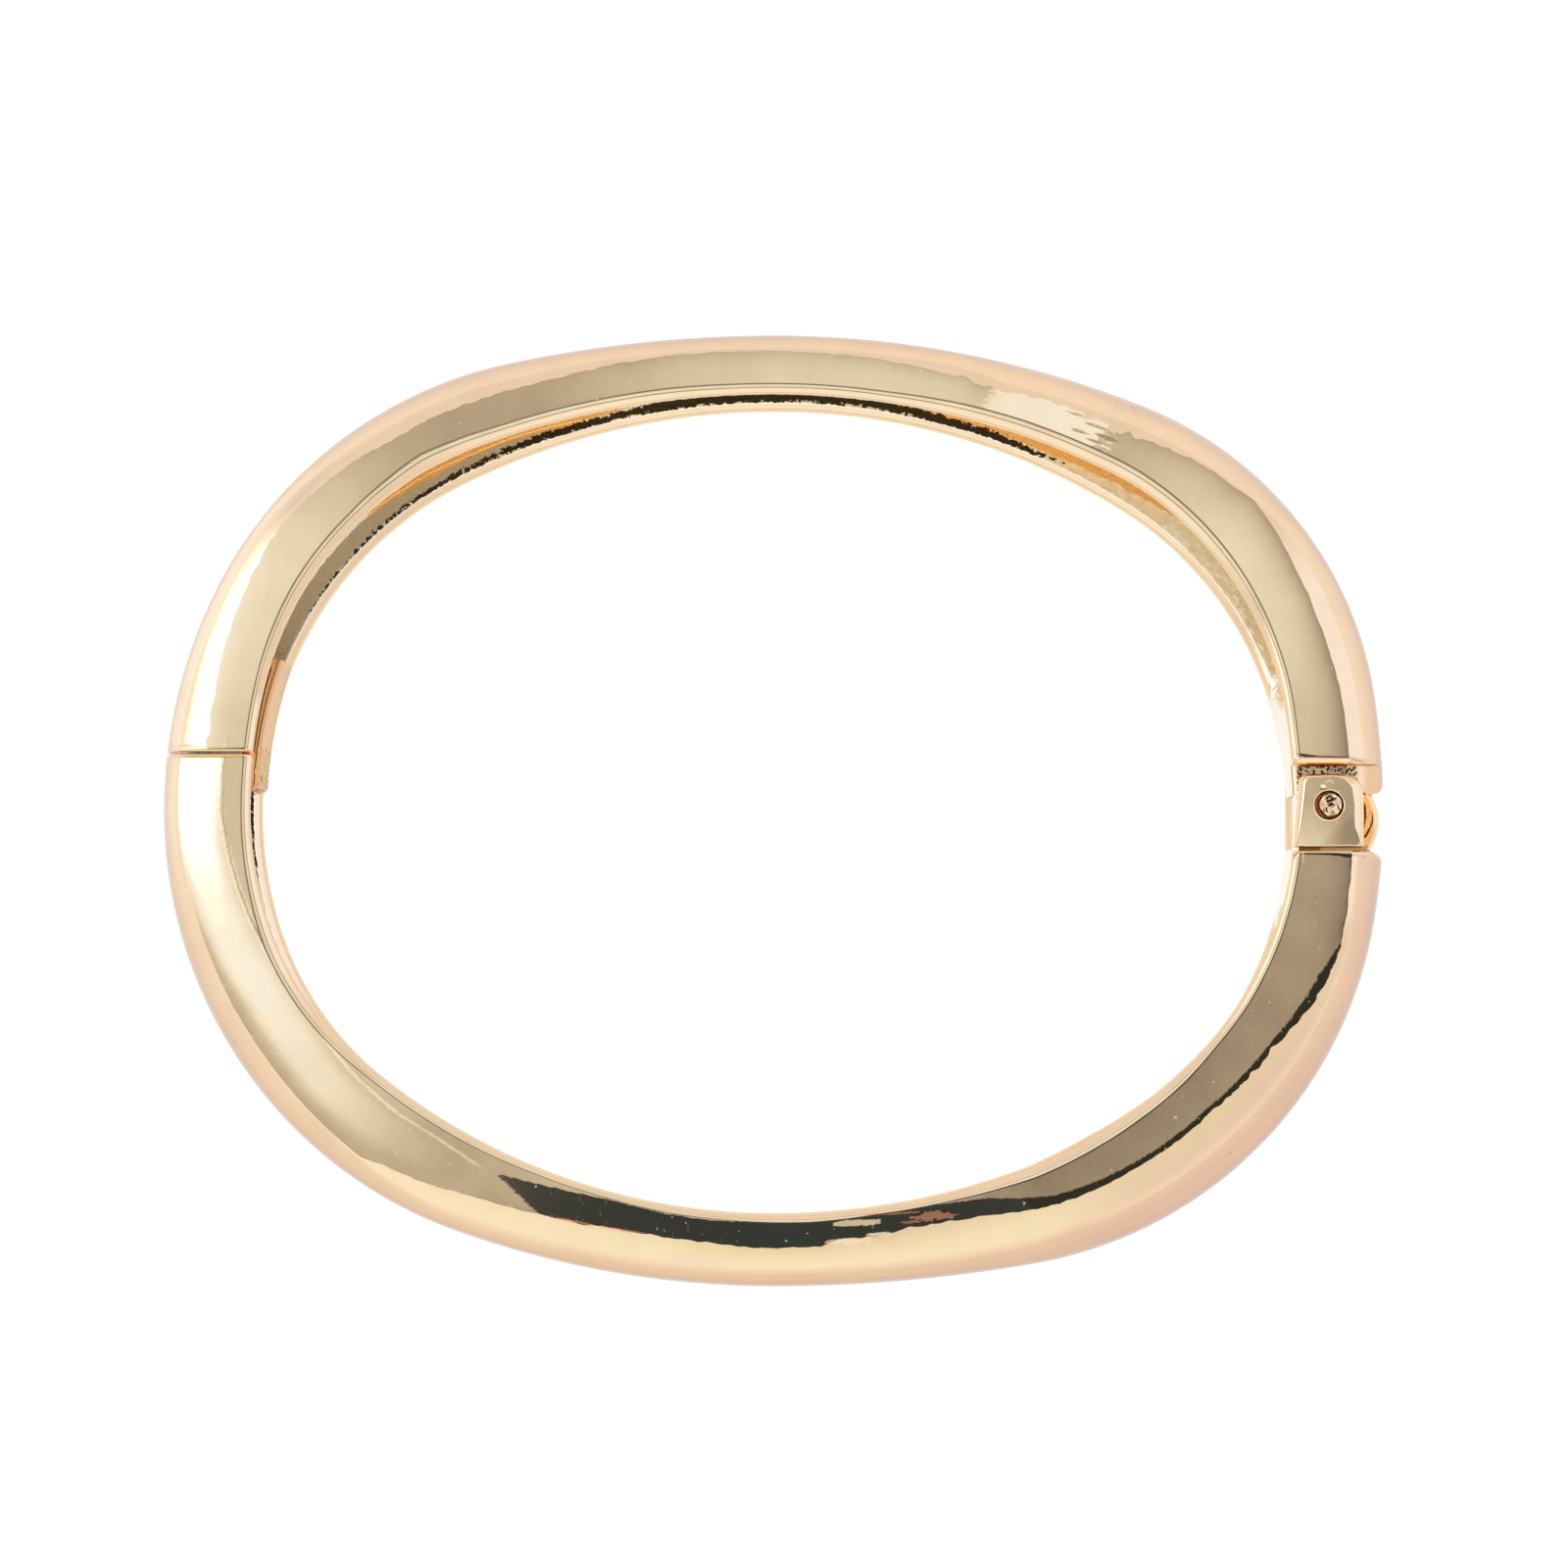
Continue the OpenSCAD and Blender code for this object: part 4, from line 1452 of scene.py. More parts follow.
class Parts:
    """The pieces of the bangle."""

    DIRECTIONS = 192
    # The rough channel: ripples as size, seed and share, and their height
    BAND_RIPPLES = ((0.5, 11, 1.0), (0.24, 12, 0.7))
    BAND_ROUGH = 0.012
    # Values of the raw strip beside the ear, painted shade of its recess: just short of the black,
    # and fully dim
    ROOT_SOOT = 9.8
    FULL = 20.0
    # The tongue: its reach past the seam, its gaps to the lips, its thickness, the radii of its
    # edges and tip, how far it stands back and the radius of its bow
    TONGUE_REACH = 2.05
    TONGUE_GAP = 0.1
    TONGUE_T = 0.98
    TONGUE_R = 0.14
    TONGUE_TIP_R = 0.4
    TONGUE_BACK = 0.35
    TONGUE_BOW = 25
    TONGUE_FINE = (0, 0.02, 0.06, 0.12, 0.2, 0.3, 0.42)
    TONGUE_CAST = 0.25
    # Dents in the tongue's face below the seam: least ripple, depth, and from where to where
    DENT_FROM = 0.55
    DENT_DEPTH = 0.12
    DENT_ABOVE = 0.4
    DENT_X = -29.6
    # Painted light and shade of the tongue in bands by height: pairs of height and colour
    TONGUE_TONES = (
        (1.5, (1.0, 0.92, 0.86)), (1.95, (1.0, 0.92, 0.86)), (2.1, (0.78, 0.55, 0.38)),
        (2.4, (0.82, 0.62, 0.45)), (2.6, (0.92, 0.93, 0.97)), (4.6, (0.90, 0.92, 0.98)),
        (5.0, (1.05, 1.02, 1.0)), (5.25, (1.0, 0.78, 0.58)), (5.9, (1.0, 0.75, 0.54)),
        (6.3, (0.88, 0.62, 0.42)),
    )
    # The ear's box round the pin: left, right, top and foot; and its top corners' radii
    EAR_BOX = (-1.76, 1.98, 1.75, -2.35)
    EAR_CORNERS = (0.45, 1.15)
    EAR_SLANT = 0.09
    EAR_PLATE = Plate(SINK_R, BAND_W - LIP_T, BAND_W, 0.6, 0.4, 30)
    # Widths of the ear's rounded edge: pairs of direction in degrees and millimetres
    EAR_BEVEL = (
        (0, 0.57), (24, 0.70), (48, 0.5), (65, 0.25), (80, 0.14), (100, 0.14), (124, 0.25),
        (135, 0.44), (157, 0.38), (180, 0.34), (205, 0.36), (220, 0.36), (231, 0.16), (240, 0.08),
        (270, 0.08), (305, 0.12), (309, 0.33), (319, 0.74), (340, 0.62),
    )
    # The ear's top edge: from which height above the pin, its middle and its half length
    EAR_RIM = (1.55, 30.8, 0.95)
    # The near ear's slope: at the pin, per millimetre, in its light, in its wedge and its ripple
    EAR_SLOPE = 0.016
    EAR_SWAY = 0.010
    EAR_LIGHT = 0.035
    EAR_WEDGE = 0.016
    EAR_RIPPLES = ((0.9, 51, 0.003),)
    # The knuckle: its bulge's offset from the pin and radius, its own radius and its top's lean
    BULGE = (0.0, -0.83, 3.0)
    KNUCKLE_R = 3.65
    KNUCKLE_TOP = 0.6
    KNUCKLE_EDGE = 0.38
    KNUCKLE_LEAN = 0.06
    KNUCKLE_PLATE = Plate(0.2, KNUCKLE_Z, BAND_W - KNUCKLE_Z, 0.9, 0.0, 40)
    # Beyond which x the knuckle gets a painted warm glow and may get painted shadow lines, and
    # those lines, painted shade in the gap beside the ear
    AMBER_X = 32.0
    SOOT_X = 32.5
    KNUCKLE_MARKS = (
        Stroke(((33.04, 0.3, 0.02), (33.10, 0.0, 0.06), (33.11, -0.6, 0.06), (33.02, -1.2, 0.02))),
        Stroke(((33.45, 0.6, 0.02), (33.56, -0.2, 0.035), (33.5, -0.9, 0.035),
                (33.12, -1.65, 0.07))),
    )
    # The knuckle's foot: how far above the ear's foot it ends, and where it lies in the dark
    FOOT_RISE = 0.15
    FOOT_DARK_X = 30.6
    # Painted light: shade in the ear's sink and on the knuckle's foot in the dark, a reflection
    # tint on the ear's top edge, shade on the knuckle's top beside the ear and a highlight on its
    # left wall
    SINK_TONE: Colour = (0.30, 0.14, 0.06)
    RIM_TONE: Colour = (1.0, 0.62, 0.25)
    KNUCKLE_TONE: Colour = (0.98, 0.74, 0.5)
    FOOT_TONE: Colour = (0.6, 0.42, 0.25)
    WALL_TONE: Colour = (1.15, 1.25, 1.4)
    # The rivet: its ends' depth, its head's rings, and how rough, shifted and spread the head is
    HEAD_DEPTH = 0.12
    HEAD_DIRECTIONS = 96
    HEAD_RINGS = 16
    HEAD_RIPPLES = ((0.35, 31, 1.0), (0.16, 32, 0.6))
    HEAD_ROUGH = 0.07
    HEAD_LOW = 1.2
    HEAD_UNEVEN = ((0.9, 33, 0.05),)
    HEAD_SHIFT = (0.1, 0.02)
    HEAD_SPREAD = 1.04
    HEAD_CAST = 0.3

    def __init__(self, build: Builder) -> None:
        """Makes the materials.

        Args:
            build: makes the meshes.
        """
        self.build = build
        self.gold = GoldFinish("gold").material
        self.inner = GoldFinish("gold_inner", grazing=GoldFinish.GRAZING_INNER).material
        self.plate = GoldFinish("gold_plate", grazing=GoldFinish.GRAZING_PLATE).material
        self.rivet = GoldFinish("rivet_gold", 1.0).material
        self.polish = Polish()

    def _finish(
        self, obj: bpy.types.Object, body: Body, slot: Slot, *nodes: str,
        finish: bpy.types.Material | None = None,
    ) -> None:
        """Gives a piece its material and its place in the frame."""
        obj.data.materials.append(finish or (self.gold if slot is Slot.GOLD else self.rivet))
        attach(obj, body.value)
        if nodes:
            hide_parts(*nodes)

    def band(
        self, name: str, body: Body, first: BandEnd, last: BandEnd, node: str,
        steps: Sequence[float] = (),
    ) -> None:
        """One half of the band, with the polish of its near side face.

        Args:
            name: the piece's name.
            body: what it rides on.
            first: its end that comes first, anticlockwise.
            last: its other end.
            node: the solid it replaces.
            steps: distances from the first end at which the section steps.
        """
        section = Section(Stations(first, last, steps), (first, last), self.polish)
        points = section.points()
        inside = section.kinds == "inside"
        bump = ripples(points, self.BAND_RIPPLES) * self.BAND_ROUGH * section.cast * inside
        points[..., :2] += bump[..., None] * section.st.outward[:, None, :]
        root = section.root()
        # The channel's zones are painted light: a warm glow, painted dark reflection and shade, and
        # a painted dim reflection; the raw strip beside the ear gets painted shade from the black
        # and dim values
        obj = self.build.grid(name, points, section.cast, True, {
            "tone": section.tone(), "amber": section.zone(AMBER),
            "soot": mix(section.zone(SOOT) + section.zone(SLIVER), self.ROOT_SOOT, root),
            "grey": mix(section.zone(GREY), self.FULL, root),
        })
        own = self.build.normals(obj)
        count = section.depth.size
        self.build.aim(obj, np.concatenate([section.tune(own[:count]), own[count:]]))
        LOG.info("%s: %d faces", name, len(obj.data.polygons))
        self._finish(obj, body, Slot.GOLD, node)
        obj.data.materials.append(self.inner)
        obj.data.materials.append(self.plate)
        linings = np.concatenate([np.tile(inside, section.st.count - 1), [2, 2]])
        obj.data.polygons.foreach_set("material_index", linings.astype(np.int32))

    def upper(self) -> None:
        """The upper half of the band."""
        hinge = BandEnd(1, LOBE_Y, 0.0, 0.42, CHANNEL_HINGE_Y)
        clasp = BandEnd(-1, SEAM_Y + SEAM_HALF, 0.12, 0.12, CHANNEL_CLASP_Y)
        self.band("upper_band", Body.UPPER, hinge, clasp, "upper_half", (UPPER_END_Y - LOBE_Y,))

    def lower(self) -> None:
        """The lower half of the band."""
        clasp = BandEnd(-1, SEAM_Y - SEAM_HALF, 0.12, 0.12, None)
        hinge = BandEnd(1, LOWER_END_Y, 0.65, 0.12, CHANNEL_HINGE_Y)
        self.band("lower_band", Body.LOWER, clasp, hinge, "lower_half")

    def tongue(self) -> None:
        """The tongue that slides into the lower half."""
        low, high = SEAM_Y - self.TONGUE_REACH, CHANNEL_CLASP_Y
        z0, z1 = LIP_T + self.TONGUE_GAP, BAND_W - LIP_T - self.TONGUE_GAP
        r, tip, bow = self.TONGUE_R, self.TONGUE_TIP_R, self.TONGUE_BOW
        turn = np.linspace(0, math.pi / 2, 7)
        rows = []
        for y in np.concatenate([self.TONGUE_FINE, np.linspace(0.5, high - low, 90)]) + low:
            face = -OPEN_A + self.TONGUE_BACK + bow - math.sqrt(bow**2 - y * y)
            q = max(tip - (y - low), 0)
            face -= tip - math.sqrt(max(tip**2 - q * q, 0))
            back = face - self.TONGUE_T
            rim = [(face - r + r * math.cos(c), z1 - r + r * math.sin(c)) for c in turn]
            rim += [(back, z1), (back, z0)]
            rim += [(face - r + r * math.sin(c), z0 + r - r * math.cos(c)) for c in turn]
            rim += [(face, z) for z in np.linspace(z0 + r, z1 - r, 60)[1:-1]]
            rows.append([(x, y, z) for x, z in rim])
        points = np.array(rows)
        dent = np.clip(ripple(points[..., 1:], 0.22, 21) - self.DENT_FROM, 0, 1)
        dent *= (points[..., 1] < SEAM_Y + self.DENT_ABOVE) & (points[..., 0] > self.DENT_X)
        points[..., 0] -= self.DENT_DEPTH * dent
        # Painted light and shade: bands by height, then the dark strokes
        tone = look_up_tone(self.TONGUE_TONES, points[..., 2], None)
        for stroke in TONGUE_STROKES:
            tone = stroke.tint(tone, points[..., 1:])
        cast = np.full(points.shape[:2], self.TONGUE_CAST)
        obj = self.build.grid("clasp_tongue", points[::-1], cast, True, {"tone": tone[::-1]})
        self._finish(obj, Body.UPPER, Slot.GOLD, finish=self.plate)

    def _ear_outline(self, slant: float) -> tuple[Array, Array]:
        """Distance of an ear's outline from the pin, and the width of its rounded edge."""
        turn = np.linspace(0, 2 * math.pi, self.DIRECTIONS, endpoint=False)
        reach = np.arange(0.5, 3.6, 0.004)
        x, y = np.cos(turn)[:, None] * reach, np.sin(turn)[:, None] * reach
        left, right, top, foot = self.EAR_BOX
        small, large = self.EAR_CORNERS
        left = left + slant * y
        held = (x >= left) & (x <= right) & (y <= top) & (y >= foot)
        held &= ~((x < left + small) & (y > top - small)
                  & (np.hypot(x - left - small, y - top + small) > small))
        held &= ~((x > right - large) & (y > top - large)
                  & (np.hypot(x - right + large, y - top + large) > large))
        radius = reach[np.argmin(held, axis=1) - 1]
        return radius, look_up(self.EAR_BEVEL, np.degrees(turn))

    def ears(self) -> None:
        """The two ears of the hinge."""
        rise, middle, half = self.EAR_RIM
        for name, near in (("ear_near", True), ("ear_far", False)):
            grid, first = self.EAR_PLATE.rings(*self._ear_outline(self.EAR_SLANT if near else 0.0))
            tone = np.ones(grid.shape)
            # Painted shade in the sink round the rivet, and a painted reflection tint on the top
            # edge
            tone[:3] = self.SINK_TONE
            top = (grid[..., 1] > PIN[1] + rise) & (abs(grid[..., 0] - middle) < half)
            top &= (np.arange(len(grid)) > first + 2)[:, None]
            tone = np.where(top[..., None], np.array(self.RIM_TONE), tone)
            if not near:
                grid[..., 2] = BAND_W - grid[..., 2]
                grid, tone = grid[:, ::-1], tone[:, ::-1]
            obj = self.build.grid(name, grid, np.zeros(grid.shape[:2]), False, {"tone": tone})
            if near:
                self._polish_ear(obj, grid, slice(4, first + 1))
            self._finish(obj, Body.LOWER, Slot.GOLD, finish=self.inner)

    def _polish_ear(self, obj: bpy.types.Object, grid: Array, flat: slice) -> None:
        """Leans the flat of the near ear as the polish has left it."""
        own = self.build.normals(obj).reshape(grid.shape)
        spot = grid[flat][..., :2]
        x, y = spot[..., 0] - PIN[0], spot[..., 1] - PIN[1]
        wedge = np.clip(((x + 0.36) * 0.68 - (y + 1.94) * 0.73) / 0.35 + 0.2, 0, 1)
        wedge *= np.clip(1 - (y + 1) / 2.4, 0.2, 1)
        light = np.clip(-(y - 0.3) / 2.2, 0, 1) * np.clip((0.9 - x) / 1.2, 0, 1)
        slope = self.EAR_SLOPE - self.EAR_SWAY * x + self.EAR_LIGHT * light - self.EAR_WEDGE * wedge
        slope += ripples(spot, self.EAR_RIPPLES)
        lens = self.polish.toward_lens(grid[flat], np.array([1.0, 0.0]))
        for stroke in EAR_STROKES:
            slope = stroke.lean(slope, spot, lens)
        own[flat][..., 0] += slope
        self.build.aim(obj, own)

    def knuckle(self) -> None:
        """The knuckle between the ears, seen as a crescent beside the near ear."""
        turn = np.linspace(0, 2 * math.pi, self.DIRECTIONS, endpoint=False)
        c, s = np.cos(turn), np.sin(turn)
        dx, dy, r = self.BULGE
        along = dx * c + dy * s
        bulge = along + np.sqrt(np.maximum(r * r - (dx * dx + dy * dy) + along**2, 0))
        left = np.where(c < -TINY, (PIN[0] - OPEN_A) / np.maximum(-c, TINY), FAR_OFF)
        top = np.where(s > TINY, (UPPER_END_Y - self.KNUCKLE_TOP) / np.maximum(s, TINY), FAR_OFF)
        radius = np.min([bulge, np.full_like(bulge, self.KNUCKLE_R), left, top], axis=0)
        grid, first = self.KNUCKLE_PLATE.rings(radius, np.full_like(radius, self.KNUCKLE_EDGE))
        x, y = grid[..., 0], grid[..., 1]
        ring = np.arange(len(grid))[:, None]
        foot = y < PIN[1] + self.EAR_BOX[3] + self.FOOT_RISE
        cast = np.where((ring < first) & ~foot, 1.0, 0.0)
        # Painted light on the knuckle's top: a warm glow, and black shadow lines in the gap beside
        # the ear
        amber = np.where((ring <= first) & (x > self.AMBER_X) & ~foot, self.FULL, 0.0)
        marks = np.max([stroke.cover(grid[..., :2]) for stroke in self.KNUCKLE_MARKS], axis=0)
        soot = np.where((x > self.SOOT_X) & (y < 1), self.FULL * marks, 0.0)
        # Painted shade on the top and the foot, and a painted highlight on the left wall
        tone = np.ones(grid.shape)
        tone[:first + 1] = self.KNUCKLE_TONE
        tone[foot] = self.FOOT_TONE
        tone[foot & (x < self.FOOT_DARK_X)] = self.SINK_TONE
        wall = x[first + 2:, :, None] < PIN[0] - 1.4
        tone[first + 2:] = np.where(wall, np.array(self.WALL_TONE), 1.0)
        values = {"amber": amber, "soot": soot, "tone": tone}
        obj = self.build.grid("knuckle", grid, cast, False, values)
        own = self.build.normals(obj).reshape(grid.shape)
        own[:first + 1, :, 0] += self.KNUCKLE_LEAN
        self.build.aim(obj, own)
        self._finish(obj, Body.UPPER, Slot.GOLD, finish=self.inner)

    def pin(self) -> None:
        """The rivet, with a rough head."""
        low, top, count = self.HEAD_DEPTH, BAND_W - self.HEAD_DEPTH, self.HEAD_RINGS
        way = circle(np.linspace(0, 2 * math.pi, self.HEAD_DIRECTIONS, endpoint=False))
        rings = [(r, top) for r in np.linspace(0.01, PIN_R - 0.05, count)]
        rings += [(PIN_R - 0.02, top - 0.02), (PIN_R, top - 0.07), (PIN_R, low + 0.07),
                  (PIN_R - 0.05, low), (0.01, low)]
        grid = np.stack([lay_ring(way, np.full(len(way), r), z) for r, z in rings])
        head = grid[:count, :, :2]
        fade = np.clip((PIN_R - np.linalg.norm(head - np.array(PIN), axis=-1)) / 0.1, 0, 1)
        rough = ripples(head, self.HEAD_RIPPLES) - self.HEAD_LOW
        grid[:count, :, 2] += self.HEAD_ROUGH * rough * fade
        spread = self.HEAD_SPREAD * (1 + ripples(way, self.HEAD_UNEVEN))[None, :, None]
        wide = grid[:count + 2, :, :2]
        wide[:] = np.array(PIN) + self.HEAD_SHIFT + (wide - np.array(PIN)) * spread
        soot = np.zeros(grid.shape[:2])
        marks = np.max([stroke.cover(head) for stroke in HEAD_STROKES], axis=0)
        soot[:count] = self.FULL * marks
        cast = np.where(soot > self.FULL / 4, 1.0, self.HEAD_CAST)
        obj = self.build.grid("rivet", grid, cast, False, {"soot": soot})
        self._finish(obj, Body.LOWER, Slot.RIVET, "hinge_pin")

    def all(self) -> None:
        """Makes every piece."""
        self.upper()
        self.lower()
        self.tongue()
        self.ears()
        self.knuckle()
        self.pin()


# Shader maths

class Socket:
    """A shader output that takes part in sums."""

    def __init__(self, shader: "Shader", out: bpy.types.NodeSocket) -> None:
        """Wraps an output.

        Args:
            shader: the tree it belongs to.
            out: the output itself.
        """
        self.shader = shader
        self.out = out

    def __add__(self, other: Number) -> "Socket":
        return self.shader.math("ADD", self, other)

    def __radd__(self, other: Number) -> "Socket":
        return self.shader.math("ADD", other, self)

    def __sub__(self, other: Number) -> "Socket":
        return self.shader.math("SUBTRACT", self, other)

    def __rsub__(self, other: Number) -> "Socket":
        return self.shader.math("SUBTRACT", other, self)

    def __mul__(self, other: Number) -> "Socket":
        return self.shader.math("MULTIPLY", self, other)

    def __rmul__(self, other: Number) -> "Socket":
        return self.shader.math("MULTIPLY", other, self)

    def __truediv__(self, other: Number) -> "Socket":
        return self.shader.math("DIVIDE", self, other)

    def __rtruediv__(self, other: Number) -> "Socket":
        return self.shader.math("DIVIDE", other, self)

    def __pow__(self, other: Number) -> "Socket":
        return self.shader.math("POWER", self, other)

    def _map(self, kind: str, low: float, high: float, start: float, stop: float) -> "Socket":
        """Maps low..high to start..stop, and holds it there beyond them."""
        return self.shader.make(
            "ShaderNodeMapRange",
            {"Value": self, "From Min": low, "From Max": high, "To Min": start, "To Max": stop},
            {"interpolation_type": kind, "clamp": True})

    def ramp(self, low: float, high: float, start: float = 0.0, stop: float = 1.0) -> "Socket":
        """Maps low..high smoothly to start..stop."""
        return self._map("SMOOTHSTEP", low, high, start, stop)

    def line(self, low: float, high: float, start: float = 0.0, stop: float = 1.0) -> "Socket":
        """Maps low..high evenly to start..stop."""
        return self._map("LINEAR", low, high, start, stop)


class Shader:
    """A node tree and the one method that adds nodes to it."""

    def __init__(self, tree: bpy.types.NodeTree) -> None:
        """Empties the tree.

        Args:
            tree: the tree to fill.
        """
        self.tree = tree
        tree.nodes.clear()

    def make(
        self, kind: str, inputs: dict[str, object] | None = None,
        settings: dict[str, object] | None = None, output: str | int = 0,
    ) -> Socket:
        """Adds a node.

        Args:
            kind: the node's type.
            inputs: values or sockets, by input name, or by number written as text.
            settings: the node's own properties.
            output: which output is returned.

        Returns:
            That output.
        """
        node = self.tree.nodes.new(kind)
        for key, value in (settings or {}).items():
            setattr(node, key, value)
        for key, value in (inputs or {}).items():
            target = node.inputs[int(key)] if key.isdigit() else node.inputs[key]
            if isinstance(value, Socket):
                self.tree.links.new(value.out, target)
            else:
                target.default_value = value
        return Socket(self, node.outputs[output] if len(node.outputs) else None)

    def math(self, operation: str, *values: Number) -> Socket:
        """One arithmetic node."""
        return self.make(
            "ShaderNodeMath", {str(i): v for i, v in enumerate(values)}, {"operation": operation})

    def axes(self, vector: Socket) -> tuple[Socket, Socket, Socket]:
        """The three parts of a vector."""
        part = self.make("ShaderNodeSeparateXYZ", {"Vector": vector})
        outs = part.out.node.outputs
        return Socket(self, outs[0]), Socket(self, outs[1]), Socket(self, outs[2])

    def mix(
        self, low: Socket | Colour, high: Socket | Colour, share: Number, kind: str = "MIX",
    ) -> Socket:
        """A mix of two colours, each of them plain or linked."""
        first, second = (one if isinstance(one, Socket) else (*one, 1) for one in (low, high))
        return self.make(
            "ShaderNodeMix", {"0": share, "6": first, "7": second},
            {"data_type": "RGBA", "blend_type": kind}, 2)

    def noise(self, place: Socket, scale: float, detail: float = 2.0) -> Socket:
        """Noise about 0.5."""
        return self.make(
            "ShaderNodeTexNoise", {"Vector": place, "Scale": scale, "Detail": detail})

    def value(self, name: str, output: str = "Fac") -> Socket:
        """One of the mesh's values."""
        return self.make("ShaderNodeAttribute", settings={"attribute_name": name}, output=output)


class GoldFinish:
    """The procedural metal of the bangle."""

    BASE: Colour = (0.80, 0.59, 0.365)
    WORN: Colour = (0.77, 0.57, 0.35)
    GRAZING: Colour = (0.78, 0.72, 0.7)
    GRAZING_INNER: Colour = (1.0, 1.0, 0.98)
    GRAZING_PLATE: Colour = (0.86, 0.68, 0.48)
    CAST: Colour = (1.0, 0.94, 0.80)
    CAST_WORN: Colour = (0.96, 0.83, 0.62)
    # Painted light on the raw surface: a warm glow, black for painted shade and dark reflection in
    # the channel and by the hinge and for the rivet head's dark marks, and a dim reflection
    AMBER: Colour = (0.97, 0.56, 0.20)
    SOOT: Colour = (0.05, 0.035, 0.018)
    GREY: Colour = (0.60, 0.54, 0.45)
    # The clouds, the fine grain, the grain and the specks: how many per millimetre, and detail
    NOISES = ((0.35, 3), (5.0, 3), (2.2, 4), (3.1, 2))
    # Scratches: turn in radians, stretch, how many per millimetre, and where their mask starts
    SCRATCHES = ((0.5, 0.06, 1.4, 0.56, 0.62), (-0.9, 0.05, 1.7, 0.58, 0.66))
    SCRATCH_HALF = 0.012
    # Between which values a zone's edge lies, and how ragged the edges are
    ZONE_EDGE = (9.6, 10.4)
    GREY_TEETH, AMBER_TEETH, SOOT_TEETH = 3, 8, 14
    # Roughness: of the polish, and what dullness, fine grain, casting and pits add
    ROUGH = (0.035, 0.1, 0.02, 0.16, 0.1)

    def __init__(self, name: str, dull: float = 0.0, grazing: Colour = GRAZING) -> None:
        """Makes the material.

        Args:
            name: its name.
            dull: how dull it is beyond a mirror polish, 0 to 1.
            grazing: its tint where it is seen at a low angle.
        """
        self.grazing = grazing
        self.dull = dull
        self.material = bpy.data.materials.new(name)
        self.material.use_nodes = True
        self.shader = Shader(self.material.node_tree)
        self._wire()

    def _scratches(self, place: Socket, turn: float, stretch: float, scale: float) -> Socket:
        """Thin straight scratches in one direction."""
        laid = self.shader.make("ShaderNodeMapping", {
            "Vector": place, "Rotation": (0, 0, turn), "Scale": (1, stretch, 1)})
        value = self.shader.noise(laid, scale, 1.0)
        return self.shader.math("ABSOLUTE", value - 0.5).line(0.0, self.SCRATCH_HALF, 1, 0)

    def _zone(self, name: str, noise: Socket, teeth: float) -> Socket:
        """1 inside one of the channel's zones, with a ragged edge."""
        return (self.shader.value(name) + (noise - 0.5) * teeth).ramp(*self.ZONE_EDGE)

    def _wire(self) -> None:
        """Lays the nodes."""
        sh = self.shader
        place = sh.make("ShaderNodeTexCoord", output="Object")
        cast = sh.value("cast")
        per_mm = 1 / MM
        cloud, fine, grain, speck = (
            sh.noise(place, scale * per_mm, detail) for scale, detail in self.NOISES)
        pits = speck.ramp(0.735, 0.76)
        lines, more = (
            self._scratches(place, turn, stretch, scale * per_mm) * mask.ramp(low, high)
            for (turn, stretch, scale, low, high), mask in zip(self.SCRATCHES, (speck, grain)))
        marks = lines + more
        plain = sh.mix(self.BASE, self.WORN, cloud.ramp(0.4, 0.75))
        raw = sh.mix(self.CAST, self.CAST_WORN, grain.ramp(0.35, 0.65))
        # Painted light over the raw colour: the dim reflection, the warm glow and the black
        grey = self._zone("grey", grain, self.GREY_TEETH)
        raw = sh.mix(raw, self.GREY, grey)
        raw = sh.mix(raw, self.AMBER, self._zone("amber", grain, self.AMBER_TEETH))
        raw = sh.mix(raw, self.SOOT, self._zone("soot", fine, self.SOOT_TEETH))
        colour = sh.mix(plain, raw, cast.ramp(0.4, 0.9))
        colour = sh.mix(colour, sh.value("tone", "Color"), 1.0, "MULTIPLY")
        polish, dull, grainy, raw_cast, pitted = self.ROUGH
        rough = polish + dull * self.dull + grainy * fine + raw_cast * cast + pitted * pits
        height = (
            0.00012 * fine + 0.0004 * self.dull * grain - 0.003 * pits
            - 0.0003 * marks + (0.03 * grain + 0.012 * fine) * cast * (1 - 0.75 * grey)
        )
        bump = sh.make("ShaderNodeBump", {"Strength": 1.0, "Distance": MM, "Height": height})
        shaded = sh.make("ShaderNodeBsdfPrincipled", {
            "Base Color": colour, "Metallic": 1.0, "Roughness": rough, "Normal": bump,
            "Specular Tint": (*self.grazing, 1)})
        sh.make("ShaderNodeOutputMaterial", {"Surface": shaded})


@dataclass(frozen=True)
class Light:
    """The studio's light in one of the three basic colours.

    Args:
        wall: light of the plain walls.
        right: what the field on the right adds to it.
        corner: what the field at the lower right adds.
        below: what the field below adds.
        warm: share that the ceiling gains off the middle.
        bright: share that it gains near the walls.
        lens: light of the lens.
        under: light from below the level of the table.
    """

    wall: float
    right: float
    corner: float
    below: float
    warm: float
    bright: float
    lens: float
    under: float


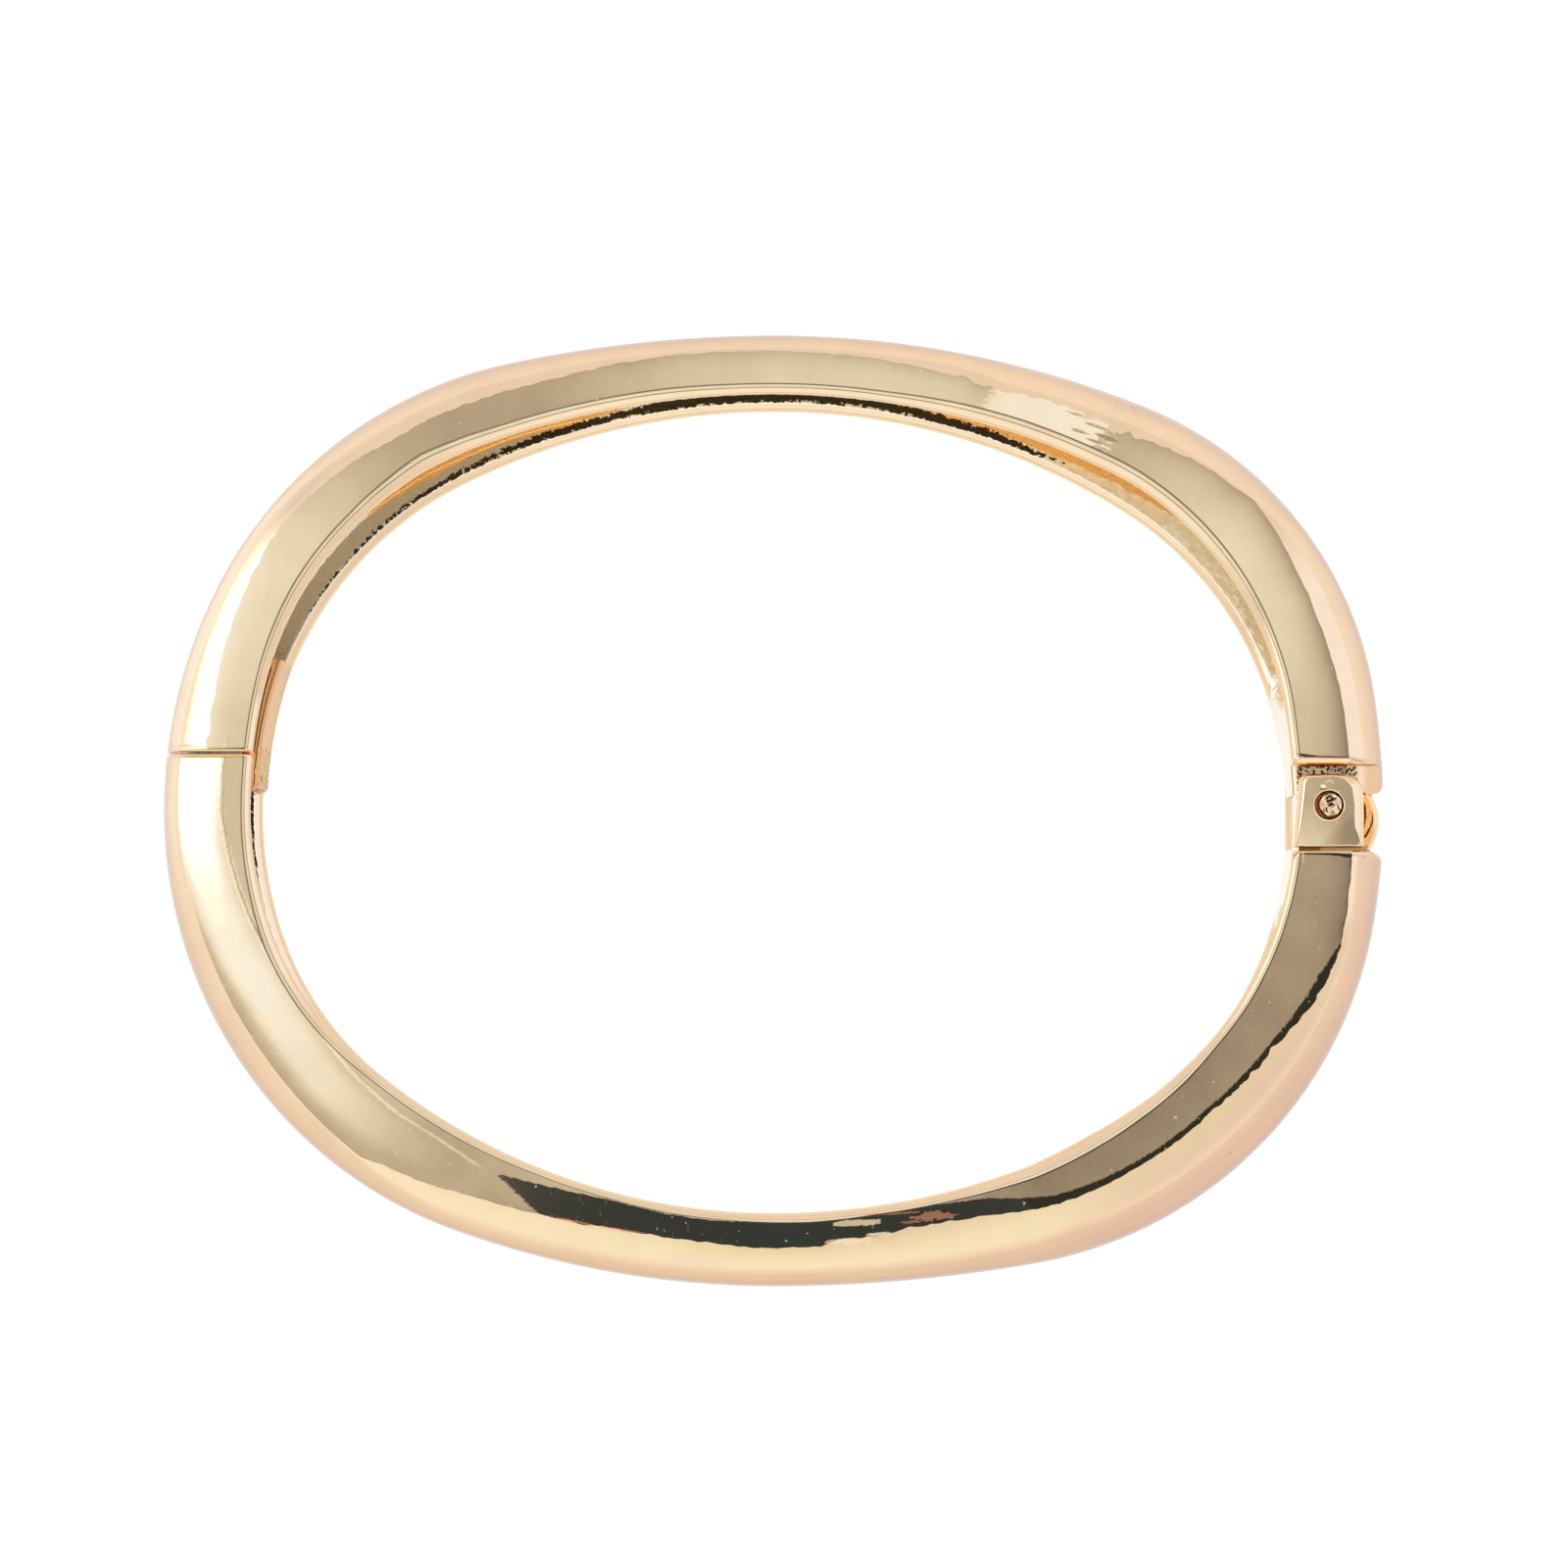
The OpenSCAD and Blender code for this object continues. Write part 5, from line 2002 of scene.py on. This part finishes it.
class Studio:
    """Light, floor and camera."""

    # Where the lens stands, as parts of a direction
    LENS = (0.0, 0.03)
    # Compass direction and reach of the fields of the walls, in degrees
    LEFT, RIGHT, BELOW, CORNER = (172, 34), (16, 26), (-105, 48), (-35, 40)
    LEFT_LIGHT = 1.9
    LIGHTS = (
        Light(1.04, 0.17, -0.03, 0.17, 0.0, 0.0, 0.045, 1.12),
        Light(1.03, 0.28, -0.03, 0.28, 0.12, 0.07, 0.065, 1.12),
        Light(1.12, 0.52, -0.02, 0.28, 0.20, 0.32, 0.085, 1.16),
    )
    # The floor: its length, depth, colour, roughness and glow
    FLOOR = 2.0
    FLOOR_Z = -0.00002
    PAPER = (0.3, 0.3, 0.3, 1)
    PAPER_ROUGH = 0.9
    PAPER_GLOW = 0.82

    def __init__(self) -> None:
        """Sets up all three."""
        self.scene = bpy.context.scene
        self.scene.view_settings.view_transform = "Standard"
        self.scene.view_settings.look = "None"
        self._sky()
        self._floor()
        self._camera()

    def _sky(self) -> None:
        """A soft studio: bright walls, a dimmer ceiling and the dark lens straight above."""
        world = bpy.data.worlds.new("studio")
        self.scene.world = world
        world.use_nodes = True
        sh = Shader(world.node_tree)
        x, y, z = sh.axes(sh.make("ShaderNodeTexCoord", output="Generated"))
        off_x, off_y = x - self.LENS[0], y - self.LENS[1]
        far = sh.math("SQRT", off_x * off_x + off_y * off_y)
        light = far.line(0.05, 0.27, 0.30, 1.09) + far.line(0.27, 0.36, 0, 0.16)
        warm = far.line(0.13, 0.25)
        bright = far.line(0.25, 0.34)
        lens = far.line(0.046, 0.052, 1, 0)
        side = sh.math("ARCTAN2", y, x)
        reach = sh.math("SQRT", x * x + y * y)
        left = self._lobe(sh, side, *self.LEFT) * far.line(0.64, 0.82, 1, 0.12)
        below = self._lobe(sh, side, *self.BELOW) * reach.ramp(0.3, 0.8, 0.5, 1)
        right = self._lobe(sh, side, *self.RIGHT)
        corner = self._lobe(sh, side, *self.CORNER)
        outside = far.line(0.36, 0.45)
        parts = []
        for one in self.LIGHTS:
            wall = one.wall + one.right * right + one.corner * corner + one.below * below
            wall = wall + self.LEFT_LIGHT * left
            ceiling = light * (1 + one.warm * warm + one.bright * bright)
            ceiling = ceiling + (one.lens - ceiling) * lens
            parts.append(ceiling + (wall - ceiling) * outside)
        colour = sh.make("ShaderNodeCombineXYZ", dict(zip("XYZ", parts)))
        colour = sh.mix(tuple(one.under for one in self.LIGHTS), colour, z.ramp(-0.05, 0.3))
        back = sh.make("ShaderNodeBackground", {"Color": colour, "Strength": 1.0})
        sh.make("ShaderNodeOutputWorld", {"Surface": back})

    @staticmethod
    def _lobe(sh: Shader, side: Socket, middle: float, wide: float) -> Socket:
        """1 round one compass direction, falling to 0 at a given angle from it, in degrees."""
        turned = sh.math("WRAP", side - math.radians(middle), math.pi, -math.pi)
        wide = math.radians(wide)
        return sh.math("ABSOLUTE", turned).ramp(wide * 0.5, wide, 1, 0)

    def _floor(self) -> None:
        """A plain white floor that glows a little, as a light table does."""
        signs = ((-1, -1), (1, -1), (1, 1), (-1, 1))
        spots = [(x * self.FLOOR / 2, y * self.FLOOR / 2, self.FLOOR_Z) for x, y in signs]
        data = bpy.data.meshes.new("floor")
        data.from_pydata(spots, [], [(0, 1, 2, 3)])
        floor = bpy.data.objects.new("floor", data)
        self.scene.collection.objects.link(floor)
        paper = bpy.data.materials.new("paper")
        paper.use_nodes = True
        sh = Shader(paper.node_tree)
        shaded = sh.make("ShaderNodeBsdfPrincipled", {
            "Base Color": self.PAPER, "Roughness": self.PAPER_ROUGH, "Specular IOR Level": 0.0,
            "Emission Color": (1, 1, 1, 1), "Emission Strength": self.PAPER_GLOW})
        sh.make("ShaderNodeOutputMaterial", {"Surface": shaded})
        data.materials.append(paper)
        floor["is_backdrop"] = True

    def _camera(self) -> None:
        """The photograph's camera."""
        data = bpy.data.cameras.new("camera")
        data.sensor_width = VIEW.sensor_mm
        data.lens = VIEW.focal / VIEW.size * VIEW.sensor_mm
        camera = bpy.data.objects.new("camera", data)
        place = Vector(VIEW.place) * MM
        camera.matrix_world = Matrix.Translation(place) @ VIEW.tilt().to_4x4()
        data.clip_start, data.clip_end = 0.01, 20
        self.scene.collection.objects.link(camera)
        self.scene.camera = camera


def corners() -> list[list[float]]:
    """The shown object's box as plain lists."""
    return [list(c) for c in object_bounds()]


def main() -> None:
    """Builds the scene."""
    logging.basicConfig(level=logging.INFO)
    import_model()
    Studio()
    Parts(Builder()).all()


if __name__ == "__main__":
    main()
